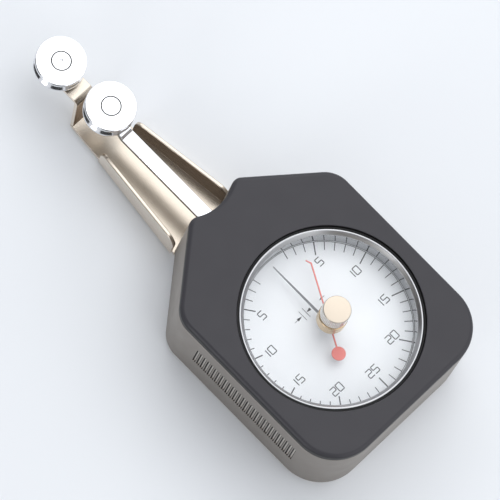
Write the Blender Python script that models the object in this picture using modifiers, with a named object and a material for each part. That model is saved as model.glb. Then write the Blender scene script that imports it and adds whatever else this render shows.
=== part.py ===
"""Yarn tension meter: a dial gauge with a fork-shaped back plate, a swinging lever and two rollers.

The meter lies on its back. +Z comes out of the dial, +Y runs towards the rollers, +X is to the
right of the dial. The origin is on the back plate's outer face, under the centre of the dial.
The script works in metres, and every size below is a real one.
"""

import math

import bmesh
import bpy
from mathutils import Matrix, Vector

MM = 0.001
DEG = math.pi / 180

# Clearances
SEAT_GAP = 0.3 * MM       # between two pieces that rest on each other
FINE_GAP = 0.15 * MM      # between the small pieces of the movement
RUN_GAP = 0.12 * MM       # between a shaft and what turns on it
PRESS_GAP = 0.06 * MM     # between a shaft and what is pressed on it
GASKET_GAP = 0.05 * MM    # between the gasket and the two rings that squeeze it
OVERRUN = 2.0 * MM        # how far a cutter passes what it cuts
FLANK_PLAY = 0.06 * MM    # play between the teeth of sector and pinion

# How finely round shapes are drawn
ARC_STEP = 12 * DEG
COARSE_STEP = 22.5 * DEG
FLAT_ANGLE = 1 * DEG
SMOOTH_ANGLE = 35 * DEG
RING_SIDES = 40
SIDES = 24
SMALL_SIDES = 12
NUT_SIDES = 6
GROOVE_END_PARTS = 2
FLANK_PARTS = 2
SPIRAL_STEPS = 12
LEVEL_PLACES = 7          # decimals of a metre, so that levels meant to agree do so exactly

# Ring and dial, which set how wide the body is
RING_RADIUS = 24.5 * MM
RING_WALL = 1.45 * MM
RING_LIP_WIDTH = 0.7 * MM
GASKET_WIDTH = 0.7 * MM
DIAL_EDGE_WIDTH = 0.2 * MM
DIAL_THICKNESS = 0.6 * MM
DIAL_HOLE_RADIUS = 1.8 * MM
DIAL_POST_COUNT = 3
DIAL_POST_RADIUS = 1.3 * MM
DIAL_POST_INSET = 5.5 * MM
RING_INNER_RADIUS = RING_RADIUS - RING_WALL
DIAL_RADIUS = RING_RADIUS - DIAL_EDGE_WIDTH
COVER_BORE_RADIUS = RING_RADIUS + GASKET_WIDTH

# Outline of the body, seen from the front
SIDE_WIDTH = 4.6 * MM         # from the cover's bore to the body's side
FOOT_WIDTH = 5.6 * MM         # from the bore to the body's lower edge
SHOULDER_WIDTH = 2.2 * MM     # from the bore to the height where the shoulders start
NECK_RISE = 17.16 * MM        # from there to the neck's corners
NOTCH_DEPTH = 3.86 * MM
BOTTOM_CORNER_RADIUS = 12.5 * MM
SHOULDER_CORNER_RADIUS = 8.0 * MM
NECK_CORNER_RADIUS = 3.0 * MM
NOTCH_RADIUS = 13.0 * MM
BODY_HALF_WIDTH = COVER_BORE_RADIUS + SIDE_WIDTH
BODY_BOTTOM_Y = -COVER_BORE_RADIUS - FOOT_WIDTH
SHOULDER_Y = COVER_BORE_RADIUS + SHOULDER_WIDTH
NECK_Y = SHOULDER_Y + NECK_RISE
NOTCH_Y = NECK_Y - NOTCH_DEPTH

# Lever, and the neck opening that it swings in
LEVER_AXIS_DROP = 4.6 * MM    # from the shoulders' height down to the lever's axis
LEVER_THICKNESS = 1.7 * MM
LEVER_HALF_WIDTH = 2.0 * MM
LEVER_EYE_RADIUS = 4.4 * MM
LEVER_PAD_RADIUS = 3.4 * MM
LEVER_SWING = 10 * DEG
STOP_PLAY = 0.6 * DEG
LEVER_ARBOR_RADIUS = 1.2 * MM
LEVER_PIVOT_RADIUS = 0.8 * MM
HUB_RADIUS = 3.2 * MM
HUB_HEIGHT = 4.0 * MM
NECK_SIDE_CLEARANCE = 0.493 * MM
NECK_OPENING_MARGIN = 1.6 * MM
NECK_POST_WIDTH = 1.75 * MM
LEVER_AXIS_Y = SHOULDER_Y - LEVER_AXIS_DROP
LEVER_SWEEP = ((NECK_Y - LEVER_AXIS_Y) * math.tan(LEVER_SWING + STOP_PLAY)
               + LEVER_HALF_WIDTH / math.cos(LEVER_SWING + STOP_PLAY))
NECK_OPENING_HALF_WIDTH = LEVER_SWEEP + NECK_SIDE_CLEARANCE
NECK_HALF_WIDTH = NECK_OPENING_HALF_WIDTH + NECK_POST_WIDTH
SHOULDER_SLOPE = (NECK_Y - SHOULDER_Y) / (BODY_HALF_WIDTH - NECK_HALF_WIDTH)

# Gears
PINION_TEETH = 12
SECTOR_TEETH = 216
SECTOR_CUT_TEETH = 17
PRESSURE_ANGLE = 20 * DEG
PINION_ADDENDUM_SHARE = 1.0
SECTOR_ADDENDUM_SHARE = 0.65
DEDENDUM_SHARE = 1.2
SECTOR_THICKNESS = 1.4 * MM
SECTOR_RIM_WIDTH = 2.4 * MM
SECTOR_ARM_WIDTH = 2.2 * MM
SECTOR_HUB_RADIUS = 4.0 * MM
SECTOR_WEB = 5.8 * MM         # from the sector's hub to its window
PINION_FACE_EXCESS = 0.4 * MM
POINTER_ARBOR_RADIUS = 0.6 * MM
POINTER_PIVOT_RADIUS = 0.4 * MM
STOP_PIN_RADIUS = 0.8 * MM
STOP_PIN_EXCESS = 1.85 * MM
STOP_DISTANCE = 13.0 * MM
TOOTH_MODULE = 2 * LEVER_AXIS_Y / (PINION_TEETH + SECTOR_TEETH)

# Springs
MEASURING_SPRING_TURNS = 4
MEASURING_SPRING_INNER = 2.75 * MM
MEASURING_SPRING_OUTER = 7.2 * MM
MEASURING_SPRING_STRIP = 0.4 * MM
MEASURING_SPRING_HEIGHT = 1.6 * MM
MEASURING_SPRING_RISE = 0.4 * MM
HAIRSPRING_TURNS = 4
HAIRSPRING_INNER = 1.7 * MM
HAIRSPRING_OUTER = 6.4 * MM
HAIRSPRING_STRIP = 0.25 * MM
HAIRSPRING_HEIGHT = 0.8 * MM
HAIRSPRING_DROP = 0.1 * MM     # from the lever's underside to the hairspring's
STUD_RADIUS = 0.7 * MM

# Movement plates, pillars and their screws
PLATE_THICKNESS = 1.5 * MM
PLATE_HALF_WIDTH = 14.5 * MM
PLATE_END_WIDTH = 7.7 * MM    # from the lever's axis to the plates' far edge
PLATE_FOOT_WIDTH = 10.5 * MM  # from the pointers' axis to their near edge
PLATE_CORNER_RADIUS = 4.0 * MM
PILLAR_RADIUS = 1.9 * MM
PILLAR_INSET = 3.4 * MM
MOVEMENT_SCREW_RADIUS = 0.9 * MM
MOVEMENT_SCREW_HEAD_RADIUS = 1.7 * MM
MOVEMENT_SCREW_HEAD_HEIGHT = 0.7 * MM
MOVEMENT_SCREW_BITE = 3.0 * MM
BUSH_RADIUS = 2.2 * MM
BUSH_FLANGE_RADIUS = 2.9 * MM
BUSH_FLANGE_HEIGHT = 0.5 * MM
DIAL_POST_CIRCLE = PLATE_HALF_WIDTH - DIAL_POST_INSET
PLATE_BOTTOM_Y = -PLATE_FOOT_WIDTH
PLATE_TOP_Y = LEVER_AXIS_Y + PLATE_END_WIDTH

# Levels of the movement, from the back plate up
SHEET_THICKNESS = 1.1 * MM
SECTOR_RISE = 3.1 * MM        # from the lower plate to the sector
SPRING_HEADROOM = 1.2 * MM    # from the measuring spring to the upper plate
LOWER_PLATE_LOW = SHEET_THICKNESS + SEAT_GAP
LOWER_PLATE_TOP = LOWER_PLATE_LOW + PLATE_THICKNESS
SECTOR_LOW = LOWER_PLATE_TOP + SECTOR_RISE
HUB_LOW = SECTOR_LOW + SECTOR_THICKNESS + FINE_GAP
LEVER_LOW = HUB_LOW + HUB_HEIGHT + FINE_GAP
LEVER_TOP = LEVER_LOW + LEVER_THICKNESS
HAIRSPRING_LOW = LEVER_LOW - HAIRSPRING_DROP
MEASURING_SPRING_LOW = LEVER_TOP + MEASURING_SPRING_RISE
UPPER_PLATE_LOW = MEASURING_SPRING_LOW + MEASURING_SPRING_HEIGHT + SPRING_HEADROOM
UPPER_PLATE_TOP = UPPER_PLATE_LOW + PLATE_THICKNESS

# Levels of the dial, the pointers, the lens and the ring
DIAL_RISE = 2.54 * MM
MAIN_POINTER_RISE = 2.46 * MM
PEAK_POINTER_RISE = 0.65 * MM
NUT_RISE = 0.7 * MM
LENS_NUT_HEIGHT = 0.7 * MM
LENS_THICKNESS = 1.3 * MM
LENS_TOP_DROP = 0.8 * MM
RING_DROP = 0.7 * MM          # the silver ring sits this far below the cover's face
DIAL_TOP = UPPER_PLATE_TOP + DIAL_RISE
MAIN_POINTER_TOP = DIAL_TOP + MAIN_POINTER_RISE
PEAK_POINTER_TOP = MAIN_POINTER_TOP + PEAK_POINTER_RISE
LENS_LOW = PEAK_POINTER_TOP + NUT_RISE + LENS_NUT_HEIGHT + FINE_GAP
LENS_TOP = LENS_LOW + LENS_THICKNESS
RING_TOP = LENS_TOP + LENS_TOP_DROP
BODY_DEPTH = RING_TOP + RING_DROP

# Case, cover and back plate
COVER_THICKNESS = 2.7 * MM
COVER_EDGE_RADIUS = 1.5 * MM
COVER_SHEET = 1.5 * MM
COVER_RIM = 2.0 * MM
BORE_WALL_SHARE = 0.577       # the bore's wall, out of what the rim leaves of the side
CASE_WALL = 2.0 * MM
CASE_BACK_CHAMFER = 0.6 * MM
BACK_INSET = 1.2 * MM
COVER_LOW = BODY_DEPTH - COVER_THICKNESS
CASE_LOW = SHEET_THICKNESS + SEAT_GAP
CASE_TOP = COVER_LOW - SEAT_GAP
COVER_BORE_WALL = BORE_WALL_SHARE * (SIDE_WIDTH - COVER_RIM)

# Grip grooves in the side walls
GROOVE_PITCH = 1.33 * MM
GROOVE_WIDTH = 0.75 * MM
GROOVE_HEIGHT = 8.0 * MM
GROOVE_DEPTH = 0.5 * MM
GROOVE_TOP_DROP = 10.1 * MM
GROOVE_FOOT_MARGIN = 1.0 * MM
GROOVE_SHOULDER_MARGIN = 3.0 * MM

# Long screws at the body's four corners, short ones beside the fork
BOSS_RADIUS = 2.7 * MM
BOSS_DROP = 0.3 * MM          # the bosses end this far short of the walls' edges
CASE_SCREW_RADIUS = 1.25 * MM
CASE_SCREW_HEAD_RADIUS = 2.3 * MM
CASE_SCREW_HEAD_HEIGHT = 0.8 * MM
CASE_SCREW_BITE = 1.6 * MM
CORNER_BOSS_INSET = 4.2 * MM
FORK_SCREW_OUTSET = 5.65 * MM
FORK_SCREW_INSET = 4.2 * MM
FORK_BOSS_HEIGHT = 6.0 * MM
FORK_SCREW_X = NECK_HALF_WIDTH + FORK_SCREW_OUTSET

# Fork: the channel in front of the body
FLANGE_LAP = 0.26 * MM        # how far the channel starts inside the neck's corners
FLANGE_LENGTH = 30.9 * MM
FLANGE_OUTSET = 2.4 * MM      # from the neck's corner to the flange's outer face
FORK_HALF_AT_END = 7.0 * MM
LEVER_OVER_FLANGE = 2.1 * MM
FLANGE_FALL = 2.0 * MM
FLANGE_START_RADIUS = 3.4 * MM
FLANGE_END_RADIUS = 2.0 * MM
BEND_RADIUS = 0.9 * MM
FLANGE_START_Y = NECK_Y - FLANGE_LAP
FLANGE_END_Y = FLANGE_START_Y + FLANGE_LENGTH
FORK_HALF_AT_START = NECK_HALF_WIDTH + FLANGE_OUTSET
FLANGE_TOP_AT_START = LEVER_LOW - LEVER_OVER_FLANGE
FLANGE_TOP_AT_END = FLANGE_TOP_AT_START - FLANGE_FALL

# Rollers, their pins and washers
ROLLER_LEAD = 6.05 * MM       # from the channel's end to the lever's roller
YARN_GAP = 4.15 * MM          # between the two rollers
ROLLER_RADIUS = 7.0 * MM
ROLLER_THICKNESS = 4.9 * MM
ROLLER_GROOVE_DEPTH = 1.3 * MM
ROLLER_GROOVE_HALF = 1.35 * MM
ROLLER_EDGE_RADIUS = 0.25 * MM
PIN_RADIUS = 1.5 * MM
PIN_HEAD_RADIUS = 2.55 * MM
PIN_HEAD_HEIGHT = 1.0 * MM
PIN_RIVET_RADIUS = 2.2 * MM
PIN_RIVET_HEIGHT = 0.6 * MM
WASHER_RADIUS = 2.6 * MM
FIXED_WASHER_HEIGHT = 1.5 * MM
LEVER_WASHER_HEIGHT = 1.2 * MM
LEVER_ROLLER_Y = FLANGE_END_Y + ROLLER_LEAD
FIXED_ROLLER_Y = LEVER_ROLLER_Y + 2 * ROLLER_RADIUS + YARN_GAP

# Lever: the joggle that lifts its end
JOGGLE_LEAD = 5.85 * MM
JOGGLE_RUN = 1.8 * MM
JOGGLE_RISE = 1.4 * MM
JOGGLE_HEAD_Y = LEVER_ROLLER_Y - JOGGLE_LEAD
JOGGLE_FOOT_Y = JOGGLE_HEAD_Y - JOGGLE_RUN

# Fork: the neck, the step and the tab that carries the fixed roller
FORK_NECK_INSET = 0.6 * MM
STEP_FOOT_INSET = 1.0 * MM
TAB_LENGTH = 9.6 * MM
STEP_RUN = 2.4 * MM
STEP_JOIN = 2.0 * MM
STEP_JOIN_INSET = 0.02 * MM   # the strip is this much narrower where it starts in the plate
TAB_DROP = 0.4 * MM           # from the lever's underside down to the tab's face
TAB_HALF_WIDTH = 3.2 * MM
TAB_END_RADIUS = 4.2 * MM
FORK_NECK_HALF_WIDTH = FORK_HALF_AT_END - FORK_NECK_INSET
STEP_FOOT_HALF_WIDTH = FORK_NECK_HALF_WIDTH - STEP_FOOT_INSET
STEP_HEAD_Y = FIXED_ROLLER_Y - TAB_LENGTH
STEP_FOOT_Y = STEP_HEAD_Y - STEP_RUN
TAB_TOP = LEVER_LOW - TAB_DROP

# Pointers
POINTER_TIP_GAP = 2.25 * MM   # from the main pointer's tip to the ring's wall
MAIN_POINTER_ROOT_WIDTH = 0.9 * MM
MAIN_POINTER_TIP_WIDTH = 0.35 * MM
POINTER_SHEET = 0.25 * MM
POINTER_BOSS_RADIUS = 1.5 * MM
POINTER_BOSS_HEIGHT = 1.2 * MM
PEAK_POINTER_ANGLE = 27.5 * DEG
PEAK_POINTER_SHORTFALL = 4.6 * MM
PEAK_POINTER_HOOK = 1.9 * MM
PEAK_POINTER_WIDTH = 0.5 * MM
PEAK_TAIL_REACH = 8.7 * MM
PEAK_DISC_RADIUS = 1.9 * MM
PEAK_HUB_RADIUS = 1.4 * MM
PEAK_HUB_HEIGHT = 0.8 * MM
PEAK_PIN_RADIUS = 0.2 * MM    # the pin that the main pointer pushes along
PEAK_PIN_INSET = 4.2 * MM
PEAK_PIN_DROP = 0.15 * MM
MAIN_POINTER_LENGTH = RING_INNER_RADIUS - POINTER_TIP_GAP
PEAK_POINTER_REACH = MAIN_POINTER_LENGTH - PEAK_POINTER_SHORTFALL
PEAK_PIN_REACH = PEAK_POINTER_REACH - PEAK_PIN_INSET

# Reset knob
BUSH_COLLAR_RADIUS = 4.0 * MM
BUSH_COLLAR_HEIGHT = 4.15 * MM
LENS_BUSH_RADIUS = 2.2 * MM
LENS_NUT_RADIUS = 3.4 * MM
KNOB_RADIUS = 3.9 * MM
KNOB_HEIGHT = 5.4 * MM
KNOB_CHAMFER = 0.3 * MM
KNOB_RIDGES = 30
KNOB_RIDGE_DEPTH = 0.22 * MM
KNOB_SHAFT_RADIUS = 0.75 * MM
KNOB_BORE_DEPTH = 3.0 * MM
KNOB_LOW = LENS_TOP + FINE_GAP + BUSH_COLLAR_HEIGHT + SEAT_GAP
KNOB_TOP = KNOB_LOW + KNOB_HEIGHT


# Scene and materials

def clear_scene():
    for thing in list(bpy.data.objects):
        bpy.data.objects.remove(thing)


def new_collection(name):
    collection = bpy.data.collections.new(name)
    bpy.context.scene.collection.children.link(collection)
    return collection


def finish(name, red, green, blue, roughness, metallic, alpha=1.0):
    material = bpy.data.materials.new(name)
    material.use_nodes = True
    shader = material.node_tree.nodes["Principled BSDF"]
    shader.inputs["Base Color"].default_value = (red, green, blue, 1.0)
    shader.inputs["Roughness"].default_value = roughness
    shader.inputs["Metallic"].default_value = metallic
    shader.inputs["Alpha"].default_value = alpha
    return material


def make_finishes():
    return {
        "charcoal": finish("charcoal_paint", 0.085, 0.085, 0.095, 0.5, 0.0),
        "cast": finish("cast_aluminium", 0.42, 0.40, 0.37, 0.45, 0.9),
        "nickel": finish("nickel_plate", 0.72, 0.64, 0.53, 0.25, 1.0),
        "bright": finish("polished_steel", 0.85, 0.85, 0.86, 0.15, 1.0),
        "steel": finish("turned_steel", 0.6, 0.6, 0.62, 0.3, 1.0),
        "brass": finish("turned_brass", 0.75, 0.56, 0.3, 0.3, 1.0),
        "rubber": finish("black_rubber", 0.02, 0.02, 0.02, 0.8, 0.0),
        "glass": finish("clear_lens", 0.95, 0.97, 0.98, 0.05, 0.0, 0.2),
        "white": finish("white_dial_paint", 0.88, 0.9, 0.92, 0.5, 0.0),
        "grey": finish("grey_pointer_paint", 0.3, 0.3, 0.32, 0.4, 0.0),
        "red": finish("red_pointer_paint", 0.8, 0.24, 0.22, 0.4, 0.0),
        "spring": finish("spring_bronze", 0.6, 0.42, 0.2, 0.3, 1.0),
    }


def add_node(tree, kind, **settings):
    node = tree.nodes.new(kind)
    for name, value in settings.items():
        setattr(node, name, value)
    return node


def make_smoothing():
    """Node group that shades a mesh smooth but keeps its corners sharp."""
    tree = bpy.data.node_groups.new("smooth_by_angle", "GeometryNodeTree")
    tree.interface.new_socket("Geometry", in_out="INPUT", socket_type="NodeSocketGeometry")
    tree.interface.new_socket("Geometry", in_out="OUTPUT", socket_type="NodeSocketGeometry")
    start = add_node(tree, "NodeGroupInput")
    angle = add_node(tree, "GeometryNodeInputMeshEdgeAngle")
    blunt = add_node(tree, "FunctionNodeCompare", operation="LESS_THAN")
    blunt.inputs["B"].default_value = SMOOTH_ANGLE
    edges = add_node(tree, "GeometryNodeSetShadeSmooth", domain="EDGE")
    faces = add_node(tree, "GeometryNodeSetShadeSmooth", domain="FACE")
    end = add_node(tree, "NodeGroupOutput")
    tree.links.new(angle.outputs["Unsigned Angle"], blunt.inputs["A"])
    tree.links.new(start.outputs["Geometry"], edges.inputs["Geometry"])
    tree.links.new(blunt.outputs["Result"], edges.inputs["Shade Smooth"])
    tree.links.new(edges.outputs["Geometry"], faces.inputs["Geometry"])
    tree.links.new(faces.outputs["Geometry"], end.inputs["Geometry"])
    return tree


class Bench:
    """Keeps the collections and finishes that the pieces go into."""

    def __init__(self):
        self.pieces = new_collection("yarn_tension_meter")
        self.helpers = new_collection("cutters")
        self.finishes = make_finishes()
        self.smoothing = make_smoothing()

    def keep(self, piece, look):
        """Makes an object a piece of the meter."""
        self.pieces.objects.link(piece)
        piece.data.materials.append(self.finishes[look])
        if piece.type == "MESH":
            piece.modifiers.new("smooth", "NODES").node_group = self.smoothing
        return piece

    def set_aside(self, helper):
        """Makes an object a helper that is not part of the meter."""
        self.helpers.objects.link(helper)
        helper.hide_render = True
        helper.display_type = "WIRE"
        return helper


def axis_empty(bench, name, x, y):
    empty = bpy.data.objects.new(name, None)
    empty.location = (x, y, 0)
    bench.pieces.objects.link(empty)
    return empty


def hang(carrier, *pieces):
    """Parents pieces to an empty without moving them."""
    for piece in pieces:
        piece.parent = carrier
        piece.matrix_parent_inverse = Matrix.Translation(carrier.location).inverted()


# Outlines

def line_crossing(point_a, along_a, point_b, along_b):
    """Where two lines meet, each given by a point and a direction."""
    cross = along_a.x * along_b.y - along_a.y * along_b.x
    between = point_b - point_a
    return point_a + along_a * ((between.x * along_b.y - between.y * along_b.x) / cross)


def rounded(corners, inset=0.0, step=ARC_STEP):
    """Points of a closed outline, anticlockwise, from (x, y, radius) corners, drawn in by inset."""
    ends = [Vector(corner[:2]) for corner in corners]
    count = len(ends)
    edges = []
    for index in range(count):
        along = (ends[(index + 1) % count] - ends[index]).normalized()
        inward = Vector((-along.y, along.x))
        edges.append((ends[index] + inward * inset, along))
    outline = []
    for index in range(count):
        before = edges[index - 1]
        after = edges[index]
        corner = line_crossing(*before, *after)
        turn = math.atan2(before[1].x * after[1].y - before[1].y * after[1].x,
                          before[1].dot(after[1]))
        radius = corners[index][2]
        if radius > 0:
            radius = radius - inset if turn > 0 else radius + inset
        if radius <= 0:
            outline.append(corner)
            continue
        reach = radius * math.tan(abs(turn) / 2)
        start = corner - before[1] * reach
        inward = Vector((-before[1].y, before[1].x)) * math.copysign(radius, turn)
        centre = start + inward
        pieces = max(1, round(abs(turn) / step))
        for part in range(pieces + 1):
            outline.append(centre + Matrix.Rotation(turn * part / pieces, 2) @ -inward)
    return outline


def body_outline(inset=0.0):
    return rounded([
        (-BODY_HALF_WIDTH, BODY_BOTTOM_Y, BOTTOM_CORNER_RADIUS),
        (BODY_HALF_WIDTH, BODY_BOTTOM_Y, BOTTOM_CORNER_RADIUS),
        (BODY_HALF_WIDTH, SHOULDER_Y, SHOULDER_CORNER_RADIUS),
        (NECK_HALF_WIDTH, NECK_Y, NECK_CORNER_RADIUS),
        (0, NOTCH_Y, NOTCH_RADIUS),
        (-NECK_HALF_WIDTH, NECK_Y, NECK_CORNER_RADIUS),
        (-BODY_HALF_WIDTH, SHOULDER_Y, SHOULDER_CORNER_RADIUS),
    ], inset)


def circle(x, y, radius, sides=32):
    turn = 2 * math.pi / sides
    return [Vector((x + radius * math.cos(turn * k), y + radius * math.sin(turn * k)))
            for k in range(sides)]


def corner_screw_places():
    """Centres of the four long screws, worked out from the body's corners."""
    drop = BOTTOM_CORNER_RADIUS - (BOTTOM_CORNER_RADIUS - CORNER_BOSS_INSET) * math.sqrt(0.5)
    low = (BODY_HALF_WIDTH - drop, BODY_BOTTOM_Y + drop)
    high = (BODY_HALF_WIDTH - CORNER_BOSS_INSET, SHOULDER_Y - CORNER_BOSS_INSET / 2)
    return [(side * x, y) for x, y in (low, high) for side in (-1, 1)]


def fork_screw_places():
    """Centres of the two short screws, a set distance inside the shoulders."""
    shoulder = NECK_Y - SHOULDER_SLOPE * (FORK_SCREW_X - NECK_HALF_WIDTH)
    y = shoulder - FORK_SCREW_INSET * math.hypot(1, SHOULDER_SLOPE)
    return [(-FORK_SCREW_X, y), (FORK_SCREW_X, y)]


def pillar_places():
    x = PLATE_HALF_WIDTH - PILLAR_INSET
    return [(side * x, y) for y in (PLATE_BOTTOM_Y + PILLAR_INSET, PLATE_TOP_Y - PILLAR_INSET)
            for side in (-1, 1)]


# Shapes

def snap_levels(shape):
    for vert in shape.verts:
        vert.co.z = round(vert.co.z, LEVEL_PLACES)


def flat_curve(name, loops, low, high):
    """A flat plate between two levels, from its outline and the outlines of its holes."""
    curve = bpy.data.curves.new(name, "CURVE")
    curve.dimensions = "2D"
    curve.fill_mode = "BOTH"
    curve.extrude = (high - low) / 2
    for loop in loops:
        spline = curve.splines.new("POLY")
        spline.points.add(len(loop) - 1)
        for point, place in zip(spline.points, loop):
            point.co = (place[0], place[1], 0, 1)
        spline.use_cyclic_u = True
    plate = bpy.data.objects.new(name, curve)
    plate.location = (0, 0, (low + high) / 2)
    return plate


def flat_mesh(name, loops, low, high):
    """The same plate as a closed mesh, which can be cut and joined."""
    plate = flat_curve(name, loops, low, high)
    bpy.context.scene.collection.objects.link(plate)
    bpy.context.view_layer.update()
    seen = plate.evaluated_get(bpy.context.evaluated_depsgraph_get())
    mesh = bpy.data.meshes.new_from_object(seen)
    mesh.name = name
    mesh.transform(plate.matrix_world)
    shape = bmesh.new()
    shape.from_mesh(mesh)
    bmesh.ops.remove_doubles(shape, verts=shape.verts, dist=MM / 1000)
    snap_levels(shape)
    bmesh.ops.recalc_face_normals(shape, faces=shape.faces)
    shape.to_mesh(mesh)
    shape.free()
    bpy.data.objects.remove(plate)
    return bpy.data.objects.new(name, mesh)


def turned(name, profile, x=0.0, y=0.0, sides=32, ring=False):
    """A turned piece from (radius, level) points that run down its outer side."""
    mesh = bpy.data.meshes.new(name)
    shape = bmesh.new()
    verts = [shape.verts.new((radius, 0, level)) for radius, level in profile]
    snap_levels(shape)
    for first, second in zip(verts, verts[1:]):
        shape.edges.new((first, second))
    if ring:
        shape.edges.new((verts[-1], verts[0]))
    shape.to_mesh(mesh)
    shape.free()
    piece = bpy.data.objects.new(name, mesh)
    piece.location = (x, y, 0)
    screw = piece.modifiers.new("turn", "SCREW")
    screw.steps = sides
    screw.render_steps = sides
    screw.use_merge_vertices = True
    screw.merge_threshold = MM / 1000
    screw.use_smooth_shade = False
    return piece


def solid_profile(radius, low, high, chamfer=0.0):
    """Profile of a plain disc or pin, with its upper edge chamfered."""
    if not chamfer:
        return [(0, high), (radius, high), (radius, low), (0, low)]
    return [(0, high), (radius - chamfer, high), (radius, high - chamfer), (radius, low), (0, low)]


def ring_profile(inner, outer, low, high):
    return [(inner, high), (outer, high), (outer, low), (inner, low)]


def cup_profile(inner, outer, low, high, floor):
    """Profile of a peg with a blind hole that comes in from below up to floor."""
    return [(0, high), (outer, high), (outer, low), (inner, low), (inner, floor), (0, floor)]


def upright_plate(name, profile, start, along, thickness):
    """A standing plate: (distance, level) points along a line, thickened to the line's left."""
    side = Vector((-along.y, along.x, 0)) * thickness
    mesh = bpy.data.meshes.new(name)
    shape = bmesh.new()
    verts = []
    for distance, level in profile:
        place = start + along * distance
        verts.append(shape.verts.new((place.x, place.y, level)))
    face = shape.faces.new(verts)
    grown = bmesh.ops.extrude_face_region(shape, geom=[face])["geom"]
    moved = [part for part in grown if isinstance(part, bmesh.types.BMVert)]
    bmesh.ops.translate(shape, verts=moved, vec=side)
    snap_levels(shape)
    bmesh.ops.recalc_face_normals(shape, faces=shape.faces)
    shape.to_mesh(mesh)
    shape.free()
    return bpy.data.objects.new(name, mesh)


def thick_path(path, thickness):
    """Closed outline of a strip that lies on the left of a (distance, level) path."""
    points = [Vector(place) for place in path]
    ways = [(after - before).normalized() for before, after in zip(points, points[1:])]
    lifted = [point + Vector((-way.y, way.x)) * thickness for point, way in zip(points, ways)]
    upper = [lifted[0]]
    for index in range(1, len(ways)):
        upper.append(line_crossing(lifted[index - 1], ways[index - 1], lifted[index], ways[index]))
    upper.append(points[-1] + Vector((-ways[-1].y, ways[-1].x)) * thickness)
    return points + upper[::-1]


def side_extrusion(name, profile, half_width_at):
    """A bar whose (y, level) side view runs across the meter, as wide as half_width_at(y) says."""
    mesh = bpy.data.meshes.new(name)
    shape = bmesh.new()
    face = shape.faces.new([shape.verts.new((half_width_at(y), y, level)) for y, level in profile])
    grown = bmesh.ops.extrude_face_region(shape, geom=[face])["geom"]
    for part in grown:
        if isinstance(part, bmesh.types.BMVert):
            part.co.x = -part.co.x
    snap_levels(shape)
    bmesh.ops.recalc_face_normals(shape, faces=shape.faces)
    shape.to_mesh(mesh)
    shape.free()
    return bpy.data.objects.new(name, mesh)


def boolean(bench, piece, other, operation):
    """Cuts other from piece, or joins it to piece, and sets other aside."""
    bench.set_aside(other)
    step = piece.modifiers.new(other.name, "BOOLEAN")
    step.operation = operation
    step.solver = "EXACT"
    step.object = other
    return piece


def cut(bench, piece, cutter):
    return boolean(bench, piece, cutter, "DIFFERENCE")


def join(bench, piece, other):
    return boolean(bench, piece, other, "UNION")


def bevel_edges(piece, chooser, width, segments):
    """Rounds the sharp edges of a mesh whose two ends satisfy the chooser."""
    shape = bmesh.new()
    shape.from_mesh(piece.data)
    weights = shape.edges.layers.float.new("bevel_weight_edge")
    for edge in shape.edges:
        sharp = edge.calc_face_angle(0) > FLAT_ANGLE
        if sharp and chooser(edge.verts[0].co) and chooser(edge.verts[1].co):
            edge[weights] = 1.0
    shape.to_mesh(piece.data)
    shape.free()
    bevel = piece.modifiers.new("edge", "BEVEL")
    bevel.limit_method = "WEIGHT"
    bevel.width = width
    bevel.segments = segments
    bevel.use_clamp_overlap = False
    return piece


# Screws

def screw_profile(radius, head_radius, head_height, tip):
    """Countersunk screw that enters from the back: its head lies in the sheet, its tip points up."""
    return [(0, tip), (radius, tip), (radius, head_height), (head_radius, 0), (0, 0)]


def screw_hole(radius, head_radius, head_height, x, y, top):
    """Cutter for a countersunk hole in the back plate."""
    low = -OVERRUN
    slope = (head_radius - radius) / head_height
    wide = head_radius + FINE_GAP
    narrow = radius + FINE_GAP
    widest = wide + slope * OVERRUN
    return turned("countersink", [(0, top), (narrow, top), (narrow, head_height), (wide, 0),
                                  (widest, low), (0, low)], x, y, SMALL_SIDES)


def back_screw(bench, name, x, y, radius, head_radius, head_height, tip):
    screw = turned(name, screw_profile(radius, head_radius, head_height, tip), x, y, SMALL_SIDES)
    return bench.keep(screw, "steel")


def make_case_screws(bench):
    tip = COVER_LOW + CASE_SCREW_BITE - FINE_GAP
    for number, (x, y) in enumerate(corner_screw_places(), 1):
        back_screw(bench, f"case_screw_{number}", x, y, CASE_SCREW_RADIUS,
                   CASE_SCREW_HEAD_RADIUS, CASE_SCREW_HEAD_HEIGHT, tip)


def make_fork_screws(bench):
    tip = CASE_LOW + FORK_BOSS_HEIGHT - CASE_SCREW_BITE
    for number, (x, y) in enumerate(fork_screw_places(), 1):
        back_screw(bench, f"fork_screw_{number}", x, y, CASE_SCREW_RADIUS,
                   CASE_SCREW_HEAD_RADIUS, CASE_SCREW_HEAD_HEIGHT, tip)


def make_movement_screws(bench):
    tip = LOWER_PLATE_TOP + FINE_GAP + MOVEMENT_SCREW_BITE
    for number, (x, y) in enumerate(pillar_places(), 1):
        back_screw(bench, f"movement_screw_{number}", x, y, MOVEMENT_SCREW_RADIUS,
                   MOVEMENT_SCREW_HEAD_RADIUS, MOVEMENT_SCREW_HEAD_HEIGHT, tip)


# Back plate with fork

def fork_half_width(y):
    """Half of the channel's outer width, which narrows towards the rollers."""
    share = (y - FLANGE_START_Y) / (FLANGE_END_Y - FLANGE_START_Y)
    return FORK_HALF_AT_START + (FORK_HALF_AT_END - FORK_HALF_AT_START) * share


def fork_root_y():
    """Where the channel's side leaves the plate's shoulder."""
    drop = (FORK_HALF_AT_START - NECK_HALF_WIDTH) * SHOULDER_SLOPE
    return NECK_Y - drop - BACK_INSET * math.hypot(1, SHOULDER_SLOPE)


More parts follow.
